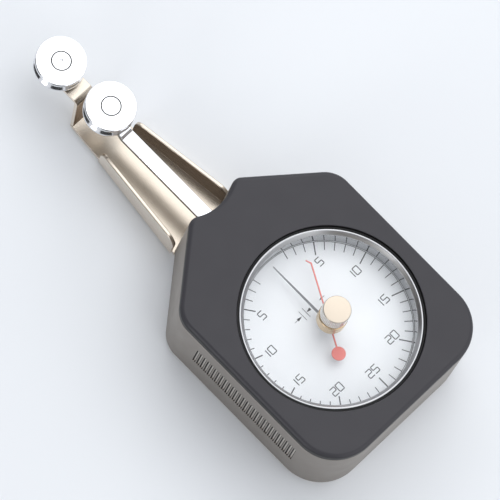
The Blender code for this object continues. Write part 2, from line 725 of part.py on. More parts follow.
def back_plate_outline():
    side = BODY_HALF_WIDTH - BACK_INSET
    bottom = BODY_BOTTOM_Y + BACK_INSET
    corner = BOTTOM_CORNER_RADIUS - BACK_INSET
    shoulder = SHOULDER_CORNER_RADIUS - BACK_INSET
    shoulder_y = SHOULDER_Y - BACK_INSET * (math.hypot(1, SHOULDER_SLOPE) - SHOULDER_SLOPE)
    edge = SHEET_THICKNESS / 2
    root = fork_root_y()
    root_half = fork_half_width(root) - edge
    end_half = FORK_HALF_AT_END - edge
    neck_y = FLANGE_END_Y + BEND_RADIUS
    foot_y = STEP_FOOT_Y - STEP_JOIN / 2
    right = [
        (side, bottom, corner),
        (side, shoulder_y, shoulder),
        (root_half, root, BEND_RADIUS),
        (end_half, FLANGE_END_Y, 0),
        (FORK_NECK_HALF_WIDTH, neck_y, 0),
        (neck_half_width(foot_y), foot_y, 0),
    ]
    left = [(-x, y, radius) for x, y, radius in reversed(right)]
    return rounded(right + left)


def neck_half_width(y):
    """Half width of the strip between the flanges' end and the roller's tab."""
    if y >= STEP_HEAD_Y:
        return TAB_HALF_WIDTH
    if y >= STEP_FOOT_Y:
        share = (y - STEP_FOOT_Y) / (STEP_HEAD_Y - STEP_FOOT_Y)
        return STEP_FOOT_HALF_WIDTH + (TAB_HALF_WIDTH - STEP_FOOT_HALF_WIDTH) * share
    start = FLANGE_END_Y + BEND_RADIUS
    share = (y - start) / (STEP_FOOT_Y - start)
    return FORK_NECK_HALF_WIDTH + (STEP_FOOT_HALF_WIDTH - FORK_NECK_HALF_WIDTH) * share


def flange_profile(length):
    """Side view of a flange along its own length: rounded at both upper corners."""
    rise = FLANGE_TOP_AT_END - FLANGE_TOP_AT_START
    return rounded([
        (0, 0, 0),
        (length, 0, 0),
        (length, FLANGE_TOP_AT_START + rise, FLANGE_END_RADIUS),
        (0, FLANGE_TOP_AT_START, FLANGE_START_RADIUS),
    ], step=COARSE_STEP)


def make_flange(side):
    """One upturned side of the channel, its lower outer edge rounded as a bend is."""
    start = Vector((side * FORK_HALF_AT_START, FLANGE_START_Y, 0))
    end = Vector((side * FORK_HALF_AT_END, FLANGE_END_Y, 0))
    along = (end - start).normalized()
    flange = upright_plate(f"flange_{'left' if side < 0 else 'right'}",
                           flange_profile((end - start).length), start, along,
                           side * SHEET_THICKNESS)

    def on_outer_foot(place):
        return place.z < MM / 100 and abs((place - start).cross(along).z) < MM / 100

    return bevel_edges(flange, on_outer_foot, BEND_RADIUS, 2)


def make_step():
    """The strip that steps up from the fork's neck to the tab under the fixed roller."""
    foot = STEP_FOOT_Y - STEP_JOIN
    path = [(foot, 0), (STEP_FOOT_Y, 0), (STEP_HEAD_Y, TAB_TOP - SHEET_THICKNESS),
            (FIXED_ROLLER_Y, TAB_TOP - SHEET_THICKNESS)]
    return side_extrusion("step", thick_path(path, SHEET_THICKNESS),
                          lambda y: neck_half_width(y) - STEP_JOIN_INSET)


def make_back_plate(bench):
    plate = flat_mesh("back_plate_fork", [back_plate_outline()], 0, SHEET_THICKNESS)
    for side in (-1, 1):
        join(bench, plate, make_flange(side))
    join(bench, plate, make_step())
    tab = turned("tab_end", solid_profile(TAB_END_RADIUS, TAB_TOP - SHEET_THICKNESS, TAB_TOP),
                 0, FIXED_ROLLER_Y, SIDES)
    join(bench, plate, tab)
    cut(bench, plate, turned("pin_hole", solid_profile(PIN_RADIUS + FINE_GAP, TAB_TOP / 2,
                                                       TAB_TOP + OVERRUN),
                             0, FIXED_ROLLER_Y, SMALL_SIDES))
    for x, y in corner_screw_places() + fork_screw_places():
        cut(bench, plate, screw_hole(CASE_SCREW_RADIUS, CASE_SCREW_HEAD_RADIUS,
                                     CASE_SCREW_HEAD_HEIGHT, x, y, SHEET_THICKNESS + OVERRUN))
    for x, y in pillar_places():
        cut(bench, plate, screw_hole(MOVEMENT_SCREW_RADIUS, MOVEMENT_SCREW_HEAD_RADIUS,
                                     MOVEMENT_SCREW_HEAD_HEIGHT, x, y,
                                     SHEET_THICKNESS + OVERRUN))
    return bench.keep(plate, "nickel")


# Case and cover

def groove_outline():
    """One upright slot with round ends, as (y, level) points about its own centre."""
    radius = GROOVE_WIDTH / 2
    straight = GROOVE_HEIGHT / 2 - radius
    points = []
    for end, start in ((1, 0), (-1, math.pi)):
        for part in range(GROOVE_END_PARTS + 1):
            angle = start + math.pi * part / GROOVE_END_PARTS
            points.append((radius * math.cos(angle), end * straight + radius * math.sin(angle)))
    return points


def groove_places():
    """The grooves fill the straight part of the side wall, short of both of its corners."""
    first = BODY_BOTTOM_Y + BOTTOM_CORNER_RADIUS + GROOVE_FOOT_MARGIN
    bend = math.tan(math.atan2(1, SHOULDER_SLOPE) / 2)
    last = SHOULDER_Y - SHOULDER_CORNER_RADIUS * bend - GROOVE_SHOULDER_MARGIN
    count = int((last - first) / GROOVE_PITCH) + 1
    return [first + number * GROOVE_PITCH for number in range(count)]


def groove_row(side):
    """Cutter for the row of grip grooves in one side wall."""
    mesh = bpy.data.meshes.new("grip_grooves")
    shape = bmesh.new()
    level = BODY_DEPTH - GROOVE_TOP_DROP - GROOVE_HEIGHT / 2
    inner = side * (BODY_HALF_WIDTH - GROOVE_DEPTH)
    outer = side * (BODY_HALF_WIDTH + OVERRUN)
    for y in groove_places():
        verts = [shape.verts.new((inner, y + dy, level + dz)) for dy, dz in groove_outline()]
        face = shape.faces.new(verts)
        grown = bmesh.ops.extrude_face_region(shape, geom=[face])["geom"]
        moved = [part for part in grown if isinstance(part, bmesh.types.BMVert)]
        bmesh.ops.translate(shape, verts=moved, vec=(outer - inner, 0, 0))
    bmesh.ops.recalc_face_normals(shape, faces=shape.faces)
    shape.to_mesh(mesh)
    shape.free()
    return bpy.data.objects.new("grip_grooves", mesh)


def make_case(bench):
    case = flat_mesh("case_body", [body_outline(), body_outline(CASE_WALL)], CASE_LOW, CASE_TOP)
    outer = {(round(p.x / MM, 2), round(p.y / MM, 2)) for p in body_outline()}

    def on_back_edge(place):
        return (place.z < CASE_LOW + MM / 100
                and (round(place.x / MM, 2), round(place.y / MM, 2)) in outer)

    bevel_edges(case, on_back_edge, CASE_BACK_CHAMFER, 1)
    hole = CASE_SCREW_RADIUS + FINE_GAP
    low = CASE_LOW + BOSS_DROP
    for x, y in corner_screw_places():
        tube = ring_profile(hole, BOSS_RADIUS, low, CASE_TOP - BOSS_DROP)
        join(bench, case, turned("corner_boss", tube, x, y, SMALL_SIDES, ring=True))
    for x, y in fork_screw_places():
        cup = cup_profile(hole, BOSS_RADIUS, low, CASE_LOW + FORK_BOSS_HEIGHT,
                          CASE_LOW + FORK_BOSS_HEIGHT - CASE_SCREW_BITE + FINE_GAP)
        join(bench, case, turned("fork_boss", cup, x, y, SMALL_SIDES))
    for side in (-1, 1):
        cut(bench, case, groove_row(side))
    low = LEVER_LOW - NECK_OPENING_MARGIN
    high = LEVER_TOP + NECK_OPENING_MARGIN
    half = NECK_OPENING_HALF_WIDTH
    inside = NOTCH_Y - CASE_WALL - OVERRUN
    outside = NECK_Y + OVERRUN
    cut(bench, case, flat_mesh("neck_opening", [rounded([
        (-half, inside, 0), (half, inside, 0), (half, outside, 0), (-half, outside, 0)])],
        low, high))
    return bench.keep(case, "cast")


def make_cover(bench):
    bore = circle(0, 0, COVER_BORE_RADIUS, RING_SIDES)
    cover = flat_mesh("front_cover", [body_outline(), bore], COVER_LOW, BODY_DEPTH)

    def on_front_edge(place):
        far = math.hypot(place.x, place.y) > COVER_BORE_RADIUS + COVER_BORE_WALL
        return place.z > BODY_DEPTH - MM / 100 and far

    bevel_edges(cover, on_front_edge, COVER_EDGE_RADIUS, 2)
    pocket_low = COVER_LOW - OVERRUN
    pocket_high = BODY_DEPTH - COVER_SHEET
    pocket = flat_mesh("cover_pocket", [
        body_outline(COVER_RIM),
        circle(0, 0, COVER_BORE_RADIUS + COVER_BORE_WALL, RING_SIDES)], pocket_low, pocket_high)
    for x, y in corner_screw_places():
        cut(bench, pocket, turned("pad_clear", solid_profile(BOSS_RADIUS, pocket_low - OVERRUN,
                                                             pocket_high + OVERRUN),
                                  x, y, SMALL_SIDES))
    cut(bench, cover, pocket)
    hole = CASE_SCREW_RADIUS + FINE_GAP
    for x, y in corner_screw_places():
        cut(bench, cover, turned("cover_thread", solid_profile(hole, pocket_low,
                                                               COVER_LOW + CASE_SCREW_BITE),
                                 x, y, SMALL_SIDES))
    return bench.keep(cover, "charcoal")


# Ring, gasket, lens and dial

def make_ring(bench):
    low = DIAL_TOP + SEAT_GAP
    seat = LENS_LOW - FINE_GAP
    lip = RING_RADIUS - RING_LIP_WIDTH
    ring = turned("bezel_ring", [(lip, RING_TOP), (RING_RADIUS, RING_TOP), (RING_RADIUS, low),
                                 (RING_INNER_RADIUS, low), (RING_INNER_RADIUS, seat),
                                 (lip, seat)], sides=RING_SIDES, ring=True)
    return bench.keep(ring, "bright")


def make_gasket(bench):
    low = COVER_LOW + GASKET_GAP
    gasket = turned("bezel_gasket", ring_profile(RING_RADIUS + GASKET_GAP,
                                                 COVER_BORE_RADIUS - GASKET_GAP,
                                                 low, RING_TOP - GASKET_GAP),
                    sides=RING_SIDES, ring=True)
    return bench.keep(gasket, "rubber")


def make_lens(bench):
    outer = RING_RADIUS - RING_LIP_WIDTH - FINE_GAP
    lens = turned("lens", ring_profile(LENS_BUSH_RADIUS + FINE_GAP, outer, LENS_LOW, LENS_TOP),
                  sides=RING_SIDES, ring=True)
    return bench.keep(lens, "glass")


def make_dial(bench):
    low = DIAL_TOP - DIAL_THICKNESS
    dial = turned("dial_plate", ring_profile(DIAL_HOLE_RADIUS, DIAL_RADIUS, low, DIAL_TOP),
                  sides=RING_SIDES, ring=True)
    foot = UPPER_PLATE_TOP + SEAT_GAP
    for number in range(DIAL_POST_COUNT):
        angle = math.pi / 2 + 2 * math.pi * number / DIAL_POST_COUNT
        join(bench, dial, turned("dial_foot", solid_profile(DIAL_POST_RADIUS, foot,
                                                            DIAL_TOP - DIAL_THICKNESS / 2),
                                 DIAL_POST_CIRCLE * math.cos(angle),
                                 DIAL_POST_CIRCLE * math.sin(angle), SMALL_SIDES))
    return bench.keep(dial, "white")


# Movement plates, pillars and bushes

def plate_outline():
    return rounded([
        (-PLATE_HALF_WIDTH, PLATE_BOTTOM_Y, PLATE_CORNER_RADIUS),
        (PLATE_HALF_WIDTH, PLATE_BOTTOM_Y, PLATE_CORNER_RADIUS),
        (PLATE_HALF_WIDTH, PLATE_TOP_Y, PLATE_CORNER_RADIUS),
        (-PLATE_HALF_WIDTH, PLATE_TOP_Y, PLATE_CORNER_RADIUS),
    ], step=COARSE_STEP)


def make_movement_plates(bench):
    bush_hole = BUSH_RADIUS + FINE_GAP
    screw_clear = MOVEMENT_SCREW_RADIUS + FINE_GAP
    loops = [plate_outline(), circle(0, 0, bush_hole, SMALL_SIDES),
             circle(0, LEVER_AXIS_Y, bush_hole, SMALL_SIDES)]
    loops += [circle(x, y, screw_clear, SMALL_SIDES) for x, y in pillar_places()]
    bench.keep(flat_curve("lower_movement_plate", loops, LOWER_PLATE_LOW, LOWER_PLATE_TOP),
               "brass")
    bench.keep(flat_curve("upper_movement_plate", loops, UPPER_PLATE_LOW, UPPER_PLATE_TOP),
               "brass")


def make_pillars(bench):
    """Pillars tapped right through, for a screw from each end."""
    tube = ring_profile(MOVEMENT_SCREW_RADIUS + FINE_GAP, PILLAR_RADIUS,
                        LOWER_PLATE_TOP + FINE_GAP, UPPER_PLATE_LOW - FINE_GAP)
    for number, (x, y) in enumerate(pillar_places(), 1):
        bench.keep(turned(f"movement_pillar_{number}", tube, x, y, SMALL_SIDES, ring=True),
                   "brass")


def make_top_screws(bench):
    """Cheese-head screws that hold the upper plate on its pillars."""
    tip = UPPER_PLATE_LOW - FINE_GAP - MOVEMENT_SCREW_BITE
    head_low = UPPER_PLATE_TOP + FINE_GAP
    head_top = head_low + MOVEMENT_SCREW_HEAD_HEIGHT
    for number, (x, y) in enumerate(pillar_places(), 1):
        screw = turned(f"plate_screw_{number}", [
            (0, head_top), (MOVEMENT_SCREW_HEAD_RADIUS, head_top),
            (MOVEMENT_SCREW_HEAD_RADIUS, head_low), (MOVEMENT_SCREW_RADIUS, head_low),
            (MOVEMENT_SCREW_RADIUS, tip), (0, tip)], x, y, SMALL_SIDES)
        bench.keep(screw, "steel")


def bush_profile(bore, low, high, flange_low, flange_high):
    """A bush with a flange that lies between two levels at one of its ends."""
    if flange_low >= high - MM / 100:
        return [(bore, flange_high), (BUSH_FLANGE_RADIUS, flange_high),
                (BUSH_FLANGE_RADIUS, flange_low), (BUSH_RADIUS, flange_low),
                (BUSH_RADIUS, low), (bore, low)]
    return [(bore, high), (BUSH_RADIUS, high), (BUSH_RADIUS, flange_high),
            (BUSH_FLANGE_RADIUS, flange_high), (BUSH_FLANGE_RADIUS, flange_low),
            (bore, flange_low)]


def make_bushes(bench):
    lower = (LOWER_PLATE_LOW, LOWER_PLATE_TOP, LOWER_PLATE_TOP + FINE_GAP,
             LOWER_PLATE_TOP + FINE_GAP + BUSH_FLANGE_HEIGHT)
    upper = (UPPER_PLATE_LOW, UPPER_PLATE_TOP, UPPER_PLATE_LOW - FINE_GAP - BUSH_FLANGE_HEIGHT,
             UPPER_PLATE_LOW - FINE_GAP)
    seats = (
        ("lever_bush_lower", LEVER_AXIS_Y, LEVER_PIVOT_RADIUS, lower),
        ("lever_bush_upper", LEVER_AXIS_Y, LEVER_PIVOT_RADIUS, upper),
        ("pointer_bush_lower", 0, POINTER_PIVOT_RADIUS, lower),
        ("pointer_bush_upper", 0, POINTER_ARBOR_RADIUS, upper),
    )
    for name, y, shaft, levels in seats:
        bench.keep(turned(name, bush_profile(shaft + RUN_GAP, *levels), 0, y, SMALL_SIDES,
                          ring=True), "brass")


def arbor_shoulders():
    """Levels between which an arbor keeps its full thickness, clear of both bushes."""
    low = LOWER_PLATE_TOP + FINE_GAP + BUSH_FLANGE_HEIGHT + FINE_GAP
    high = UPPER_PLATE_LOW - FINE_GAP - BUSH_FLANGE_HEIGHT - FINE_GAP
    return low, high


# Lever, sector and measuring spring

def make_lever(bench):
    low = LEVER_LOW
    path = [(LEVER_AXIS_Y, low), (JOGGLE_FOOT_Y, low),
            (JOGGLE_HEAD_Y, low + JOGGLE_RISE),
            (LEVER_ROLLER_Y, low + JOGGLE_RISE)]
    bar = side_extrusion("measuring_lever", thick_path(path, LEVER_THICKNESS),
                         lambda y: LEVER_HALF_WIDTH)
    join(bench, bar, turned("lever_eye", solid_profile(LEVER_EYE_RADIUS, low, LEVER_TOP),
                            0, LEVER_AXIS_Y, SIDES))
    pad_low = low + JOGGLE_RISE
    pad_top = LEVER_TOP + JOGGLE_RISE
    join(bench, bar, turned("lever_pad", solid_profile(LEVER_PAD_RADIUS, pad_low, pad_top),
                            0, LEVER_ROLLER_Y, SIDES))
    cut(bench, bar, turned("eye_bore", solid_profile(LEVER_ARBOR_RADIUS + RUN_GAP,
                                                     low - OVERRUN, LEVER_TOP + OVERRUN),
                           0, LEVER_AXIS_Y, SMALL_SIDES))
    cut(bench, bar, turned("pad_bore", solid_profile(PIN_RADIUS + FINE_GAP, pad_low - OVERRUN,
                                                     pad_top + OVERRUN),
                           0, LEVER_ROLLER_Y, SMALL_SIDES))
    return bench.keep(bar, "bright")


def make_lever_arbor(bench):
    low, high = arbor_shoulders()
    return bench.keep(turned("lever_arbor", [
        (0, UPPER_PLATE_TOP - FINE_GAP), (LEVER_PIVOT_RADIUS, UPPER_PLATE_TOP - FINE_GAP),
        (LEVER_PIVOT_RADIUS, high), (LEVER_ARBOR_RADIUS, high), (LEVER_ARBOR_RADIUS, low),
        (LEVER_PIVOT_RADIUS, low), (LEVER_PIVOT_RADIUS, LOWER_PLATE_LOW + FINE_GAP),
        (0, LOWER_PLATE_LOW + FINE_GAP)], 0, LEVER_AXIS_Y, SMALL_SIDES), "steel")


def make_lever_hub(bench):
    return bench.keep(turned("lever_hub", ring_profile(LEVER_ARBOR_RADIUS + RUN_GAP, HUB_RADIUS,
                                                       HUB_LOW, HUB_LOW + HUB_HEIGHT),
                             0, LEVER_AXIS_Y, SMALL_SIDES, ring=True), "brass")


def involute(angle):
    return math.tan(angle) - angle


def tooth_half_angle(radius, teeth):
    """Half the angle that a tooth takes up at a radius, thinned by its share of the play."""
    pitch = TOOTH_MODULE * teeth / 2
    base = pitch * math.cos(PRESSURE_ANGLE)
    at_pitch = math.pi / (2 * teeth) - FLANK_PLAY / (4 * pitch)
    reach = max(radius, base)
    return at_pitch + involute(PRESSURE_ANGLE) - involute(math.acos(base / reach))


def tooth_points(centre_angle, teeth, addendum_share):
    """Points of one tooth about its gear's centre, anticlockwise, from root to root."""
    pitch = TOOTH_MODULE * teeth / 2
    root = pitch - DEDENDUM_SHARE * TOOTH_MODULE
    tip = pitch + addendum_share * TOOTH_MODULE
    base = max(pitch * math.cos(PRESSURE_ANGLE), root)
    radii = [root] + [base + (tip - base) * part / FLANK_PARTS for part in range(FLANK_PARTS + 1)]
    flank = [(radius, tooth_half_angle(radius, teeth)) for radius in radii]
    rising = [(radius, centre_angle - half) for radius, half in flank]
    falling = [(radius, centre_angle + half) for radius, half in reversed(flank)]
    return rising + falling


def on_gear(places, y=0.0):
    return [Vector((radius * math.cos(angle), y + radius * math.sin(angle)))
            for radius, angle in places]


def sector_half_angle():
    return math.pi * SECTOR_CUT_TEETH / SECTOR_TEETH


def sector_outline():
    """Toothed rim, two straight sides and a round hub, about the lever's axis."""
    pitch_angle = 2 * math.pi / SECTOR_TEETH
    down = -math.pi / 2
    places = []
    for number in range(SECTOR_CUT_TEETH):
        offset = (number - (SECTOR_CUT_TEETH - 1) / 2) * pitch_angle
        places += tooth_points(down + offset, SECTOR_TEETH, SECTOR_ADDENDUM_SHARE)
    half = sector_half_angle()
    hub_steps = SIDES // 2
    for part in range(hub_steps + 1):
        places.append((SECTOR_HUB_RADIUS,
                       down + half + (2 * math.pi - 2 * half) * part / hub_steps))
    return on_gear(places, LEVER_AXIS_Y)


def sector_window():
    """Opening between the sector's two arms, behind its toothed rim."""
    down = -math.pi / 2
    outer = TOOTH_MODULE * SECTOR_TEETH / 2 - DEDENDUM_SHARE * TOOTH_MODULE - SECTOR_RIM_WIDTH
    places = []
    for radius in (outer, SECTOR_HUB_RADIUS + SECTOR_WEB):
        half = sector_half_angle() - SECTOR_ARM_WIDTH / radius
        turn = 1 if radius == outer else -1
        places += [(radius, down + turn * half * share) for share in (-1, 0, 1)]
    return on_gear(places, LEVER_AXIS_Y)


def make_sector(bench):
    loops = [sector_outline(), sector_window(),
             circle(0, LEVER_AXIS_Y, LEVER_ARBOR_RADIUS + RUN_GAP, SMALL_SIDES)]
    return bench.keep(flat_curve("sector_gear", loops, SECTOR_LOW,
                                 SECTOR_LOW + SECTOR_THICKNESS), "brass")


def spiral_outline(inner, outer, strip, turns, x, y, end_angle):
    """Both sides of a flat spiral strip that ends outside at end_angle."""
    steps = turns * SPIRAL_STEPS
    sides = {1: [], -1: []}
    for part in range(steps + 1):
        angle = end_angle - 2 * math.pi * (turns - part / SPIRAL_STEPS)
        middle = inner + (outer - inner) * part / steps
        for side, points in sides.items():
            radius = middle + side * strip / 2
            points.append(Vector((x + radius * math.cos(angle), y + radius * math.sin(angle))))
    return sides[1] + sides[-1][::-1]


def make_measuring_spring(bench):
    high = MEASURING_SPRING_LOW + MEASURING_SPRING_HEIGHT
    outline = spiral_outline(MEASURING_SPRING_INNER, MEASURING_SPRING_OUTER,
                             MEASURING_SPRING_STRIP, MEASURING_SPRING_TURNS, 0, LEVER_AXIS_Y,
                             -math.pi / 2)
    bench.keep(flat_curve("measuring_spring", [outline], MEASURING_SPRING_LOW, high), "spring")
    stud_y = LEVER_AXIS_Y - MEASURING_SPRING_OUTER - MEASURING_SPRING_STRIP / 2 \
        - FINE_GAP - STUD_RADIUS
    bench.keep(turned("measuring_spring_stud", solid_profile(
        STUD_RADIUS, MEASURING_SPRING_LOW, UPPER_PLATE_LOW - FINE_GAP), 0, stud_y,
        SMALL_SIDES), "brass")


def make_measuring_collet(bench):
    low = LEVER_TOP + FINE_GAP
    high = arbor_shoulders()[1] - FINE_GAP
    bore = LEVER_ARBOR_RADIUS + RUN_GAP
    outer = MEASURING_SPRING_INNER - MEASURING_SPRING_STRIP / 2 - FINE_GAP
    return bench.keep(turned("measuring_spring_collet", ring_profile(bore, outer, low, high),
                             0, LEVER_AXIS_Y, SMALL_SIDES, ring=True), "brass")


def make_stop_pins(bench):
    low = LOWER_PLATE_TOP + FINE_GAP
    high = SECTOR_LOW + SECTOR_THICKNESS + STOP_PIN_EXCESS
    swing = sector_half_angle() + LEVER_SWING + STOP_PLAY
    angle = swing + math.asin(STOP_PIN_RADIUS / STOP_DISTANCE)
    for side, name in ((-1, "left"), (1, "right")):
        bench.keep(turned(f"stop_pin_{name}", solid_profile(STOP_PIN_RADIUS, low, high),
                          side * STOP_DISTANCE * math.sin(angle),
                          LEVER_AXIS_Y - STOP_DISTANCE * math.cos(angle), SMALL_SIDES), "steel")


# Pointer arbor, pinion and hairspring

def make_pointer_arbor(bench):
    low, high = arbor_shoulders()
    top = MAIN_POINTER_TOP
    arbor = turned("pointer_arbor", [
        (0, top), (POINTER_ARBOR_RADIUS, top), (POINTER_ARBOR_RADIUS, low),
        (POINTER_PIVOT_RADIUS, low), (POINTER_PIVOT_RADIUS, LOWER_PLATE_LOW + FINE_GAP),
        (0, LOWER_PLATE_LOW + FINE_GAP)], 0, 0, SMALL_SIDES)
    return bench.keep(arbor, "steel")


def make_pinion(bench):
    places = []
    for number in range(PINION_TEETH):
        centre = math.pi / 2 + (number + 0.5) * 2 * math.pi / PINION_TEETH
        places += tooth_points(centre, PINION_TEETH, PINION_ADDENDUM_SHARE)
    low = SECTOR_LOW - PINION_FACE_EXCESS
    high = SECTOR_LOW + SECTOR_THICKNESS + PINION_FACE_EXCESS
    bore = circle(0, 0, POINTER_ARBOR_RADIUS + PRESS_GAP, SMALL_SIDES)
    return bench.keep(flat_curve("centre_pinion", [on_gear(places), bore], low, high), "brass")


def make_hairspring(bench):
    high = HAIRSPRING_LOW + HAIRSPRING_HEIGHT
    outline = spiral_outline(HAIRSPRING_INNER, HAIRSPRING_OUTER, HAIRSPRING_STRIP,
                             HAIRSPRING_TURNS, 0, 0, -math.pi / 2)
    bench.keep(flat_curve("hairspring", [outline], HAIRSPRING_LOW, high), "spring")
    stud_y = -(HAIRSPRING_OUTER + HAIRSPRING_STRIP / 2 + FINE_GAP + STUD_RADIUS)
    bench.keep(turned("hairspring_stud", solid_profile(STUD_RADIUS, HAIRSPRING_LOW,
                                                       UPPER_PLATE_LOW - FINE_GAP),
                      0, stud_y, SMALL_SIDES), "brass")


def make_hairspring_collet(bench):
    outer = HAIRSPRING_INNER - HAIRSPRING_STRIP / 2 - FINE_GAP
    return bench.keep(turned("hairspring_collet", ring_profile(
        POINTER_ARBOR_RADIUS + RUN_GAP, outer, HAIRSPRING_LOW - FINE_GAP,
        HAIRSPRING_LOW + HAIRSPRING_HEIGHT + FINE_GAP), 0, 0, SMALL_SIDES, ring=True), "brass")


# Pointers

def make_main_pointer(bench):
    root = MAIN_POINTER_ROOT_WIDTH / 2
    tip = MAIN_POINTER_TIP_WIDTH / 2
    blade = flat_mesh("main_pointer", [[
        (-root, 0), (root, 0), (tip, MAIN_POINTER_LENGTH), (-tip, MAIN_POINTER_LENGTH)]],
        MAIN_POINTER_TOP - POINTER_SHEET, MAIN_POINTER_TOP)
    boss_top = MAIN_POINTER_TOP + POINTER_SHEET / 2
    join(bench, blade, turned("pointer_boss", solid_profile(POINTER_BOSS_RADIUS,
                                                            boss_top - POINTER_BOSS_HEIGHT,
                                                            boss_top), 0, 0, SMALL_SIDES))
    cut(bench, blade, turned("pointer_bore", solid_profile(
        POINTER_ARBOR_RADIUS + PRESS_GAP, DIAL_TOP, MAIN_POINTER_TOP + FINE_GAP / 2),
        0, 0, SMALL_SIDES))
    return bench.keep(blade, "grey")


def turned_point(along, across):
    """A place on the peak pointer: along its blade and to the blade's right."""
    x = along * math.sin(PEAK_POINTER_ANGLE) + across * math.cos(PEAK_POINTER_ANGLE)
    y = along * math.cos(PEAK_POINTER_ANGLE) - across * math.sin(PEAK_POINTER_ANGLE)
    return (x, y)


def make_peak_pointer(bench):
    half = PEAK_POINTER_WIDTH / 2
    low = PEAK_POINTER_TOP - POINTER_SHEET
    bend = PEAK_POINTER_REACH
    hook = PEAK_POINTER_HOOK * math.sqrt(0.5)
    outline = [turned_point(*place) for place in (
        (-PEAK_TAIL_REACH, half), (-PEAK_TAIL_REACH, -half), (bend - half, -half),
        (bend + hook - half, -half - hook), (bend + hook, -hook), (bend, half))]
    blade = flat_mesh("peak_pointer", [outline], low, PEAK_POINTER_TOP)
    x, y = turned_point(-PEAK_TAIL_REACH, 0)
    join(bench, blade, turned("peak_disc", solid_profile(PEAK_DISC_RADIUS, low,
                                                         PEAK_POINTER_TOP), x, y, SIDES))
    hub_low = low - FINE_GAP / 2
    join(bench, blade, turned("peak_hub", solid_profile(PEAK_HUB_RADIUS, hub_low,
                                                        hub_low + PEAK_HUB_HEIGHT),
                              0, 0, SMALL_SIDES))
    pin_x, pin_y = turned_point(PEAK_PIN_REACH, 0)
    join(bench, blade, turned("peak_pin", solid_profile(PEAK_PIN_RADIUS, low - PEAK_PIN_DROP,
                                                        low + POINTER_SHEET / 2),
                              pin_x, pin_y, SMALL_SIDES))
    cut(bench, blade, turned("peak_bore", solid_profile(KNOB_SHAFT_RADIUS + PRESS_GAP,
                                                        hub_low - OVERRUN,
                                                        hub_low + PEAK_HUB_HEIGHT + OVERRUN),
                             0, 0, SMALL_SIDES))
    return bench.keep(blade, "red")


# Reset knob on the lens

def bush_levels():
    """Foot, shoulder and top of the brass bush that carries the knob in the lens."""
    foot = PEAK_POINTER_TOP - POINTER_SHEET - FINE_GAP / 2 + PEAK_HUB_HEIGHT + FINE_GAP
    return foot, LENS_TOP + FINE_GAP, KNOB_LOW - SEAT_GAP


def make_knob_bush(bench):
    foot, shoulder, top = bush_levels()
    bore = KNOB_SHAFT_RADIUS + RUN_GAP
    return bench.keep(turned("knob_bush", [
        (bore, top), (BUSH_COLLAR_RADIUS, top), (BUSH_COLLAR_RADIUS, shoulder),
        (LENS_BUSH_RADIUS, shoulder), (LENS_BUSH_RADIUS, foot), (bore, foot)],
        sides=SIDES, ring=True), "brass")


def make_knob_bush_nut(bench):
    high = LENS_LOW - FINE_GAP
    loops = [circle(0, 0, LENS_NUT_RADIUS, NUT_SIDES),
             circle(0, 0, LENS_BUSH_RADIUS + FINE_GAP, SMALL_SIDES)]
    return bench.keep(flat_curve("knob_bush_nut", loops, high - LENS_NUT_HEIGHT, high), "steel")


def make_knob_shaft(bench):
    low = PEAK_POINTER_TOP - POINTER_SHEET - FINE_GAP / 2
    high = KNOB_LOW + KNOB_BORE_DEPTH - FINE_GAP
    return bench.keep(turned("knob_shaft", solid_profile(KNOB_SHAFT_RADIUS, low, high), 0, 0,
                             SMALL_SIDES), "steel")


def make_knob(bench):
    low = KNOB_LOW
    turn = math.pi / KNOB_RIDGES
    ridged = []
    for part in range(2 * KNOB_RIDGES):
        radius = KNOB_RADIUS if part % 2 else KNOB_RADIUS - KNOB_RIDGE_DEPTH
        ridged.append((radius * math.cos(turn * part), radius * math.sin(turn * part)))
    grip = flat_mesh("reset_knob", [ridged], low + KNOB_CHAMFER, KNOB_TOP - KNOB_CHAMFER)
    core = KNOB_RADIUS - KNOB_RIDGE_DEPTH - KNOB_CHAMFER
    join(bench, grip, turned("knob_core", solid_profile(core, low, KNOB_TOP), 0, 0, SIDES))
    cut(bench, grip, turned("knob_bore", solid_profile(KNOB_SHAFT_RADIUS + PRESS_GAP,
                                                       low - OVERRUN, low + KNOB_BORE_DEPTH),
                            0, 0, SMALL_SIDES))
    return bench.keep(grip, "brass")


# Rollers, their pins and washers

def roller_profile(top):
    """Grooved rim, a recess for the pin's head and a bore."""
    low = top - ROLLER_THICKNESS
    middle = top - ROLLER_THICKNESS / 2
    edge = ROLLER_RADIUS - ROLLER_EDGE_RADIUS
    groove = ROLLER_RADIUS - ROLLER_GROOVE_DEPTH
    bore = PIN_RADIUS + RUN_GAP
    recess = PIN_HEAD_RADIUS + FINE_GAP
    recess_low = top - PIN_HEAD_HEIGHT - FINE_GAP
    return [
        (recess, top), (edge, top), (ROLLER_RADIUS, top - ROLLER_EDGE_RADIUS),
        (ROLLER_RADIUS, middle + ROLLER_GROOVE_HALF), (groove, middle),
        (ROLLER_RADIUS, middle - ROLLER_GROOVE_HALF), (ROLLER_RADIUS, low + ROLLER_EDGE_RADIUS),
        (edge, low), (bore, low), (bore, recess_low), (recess, recess_low)]


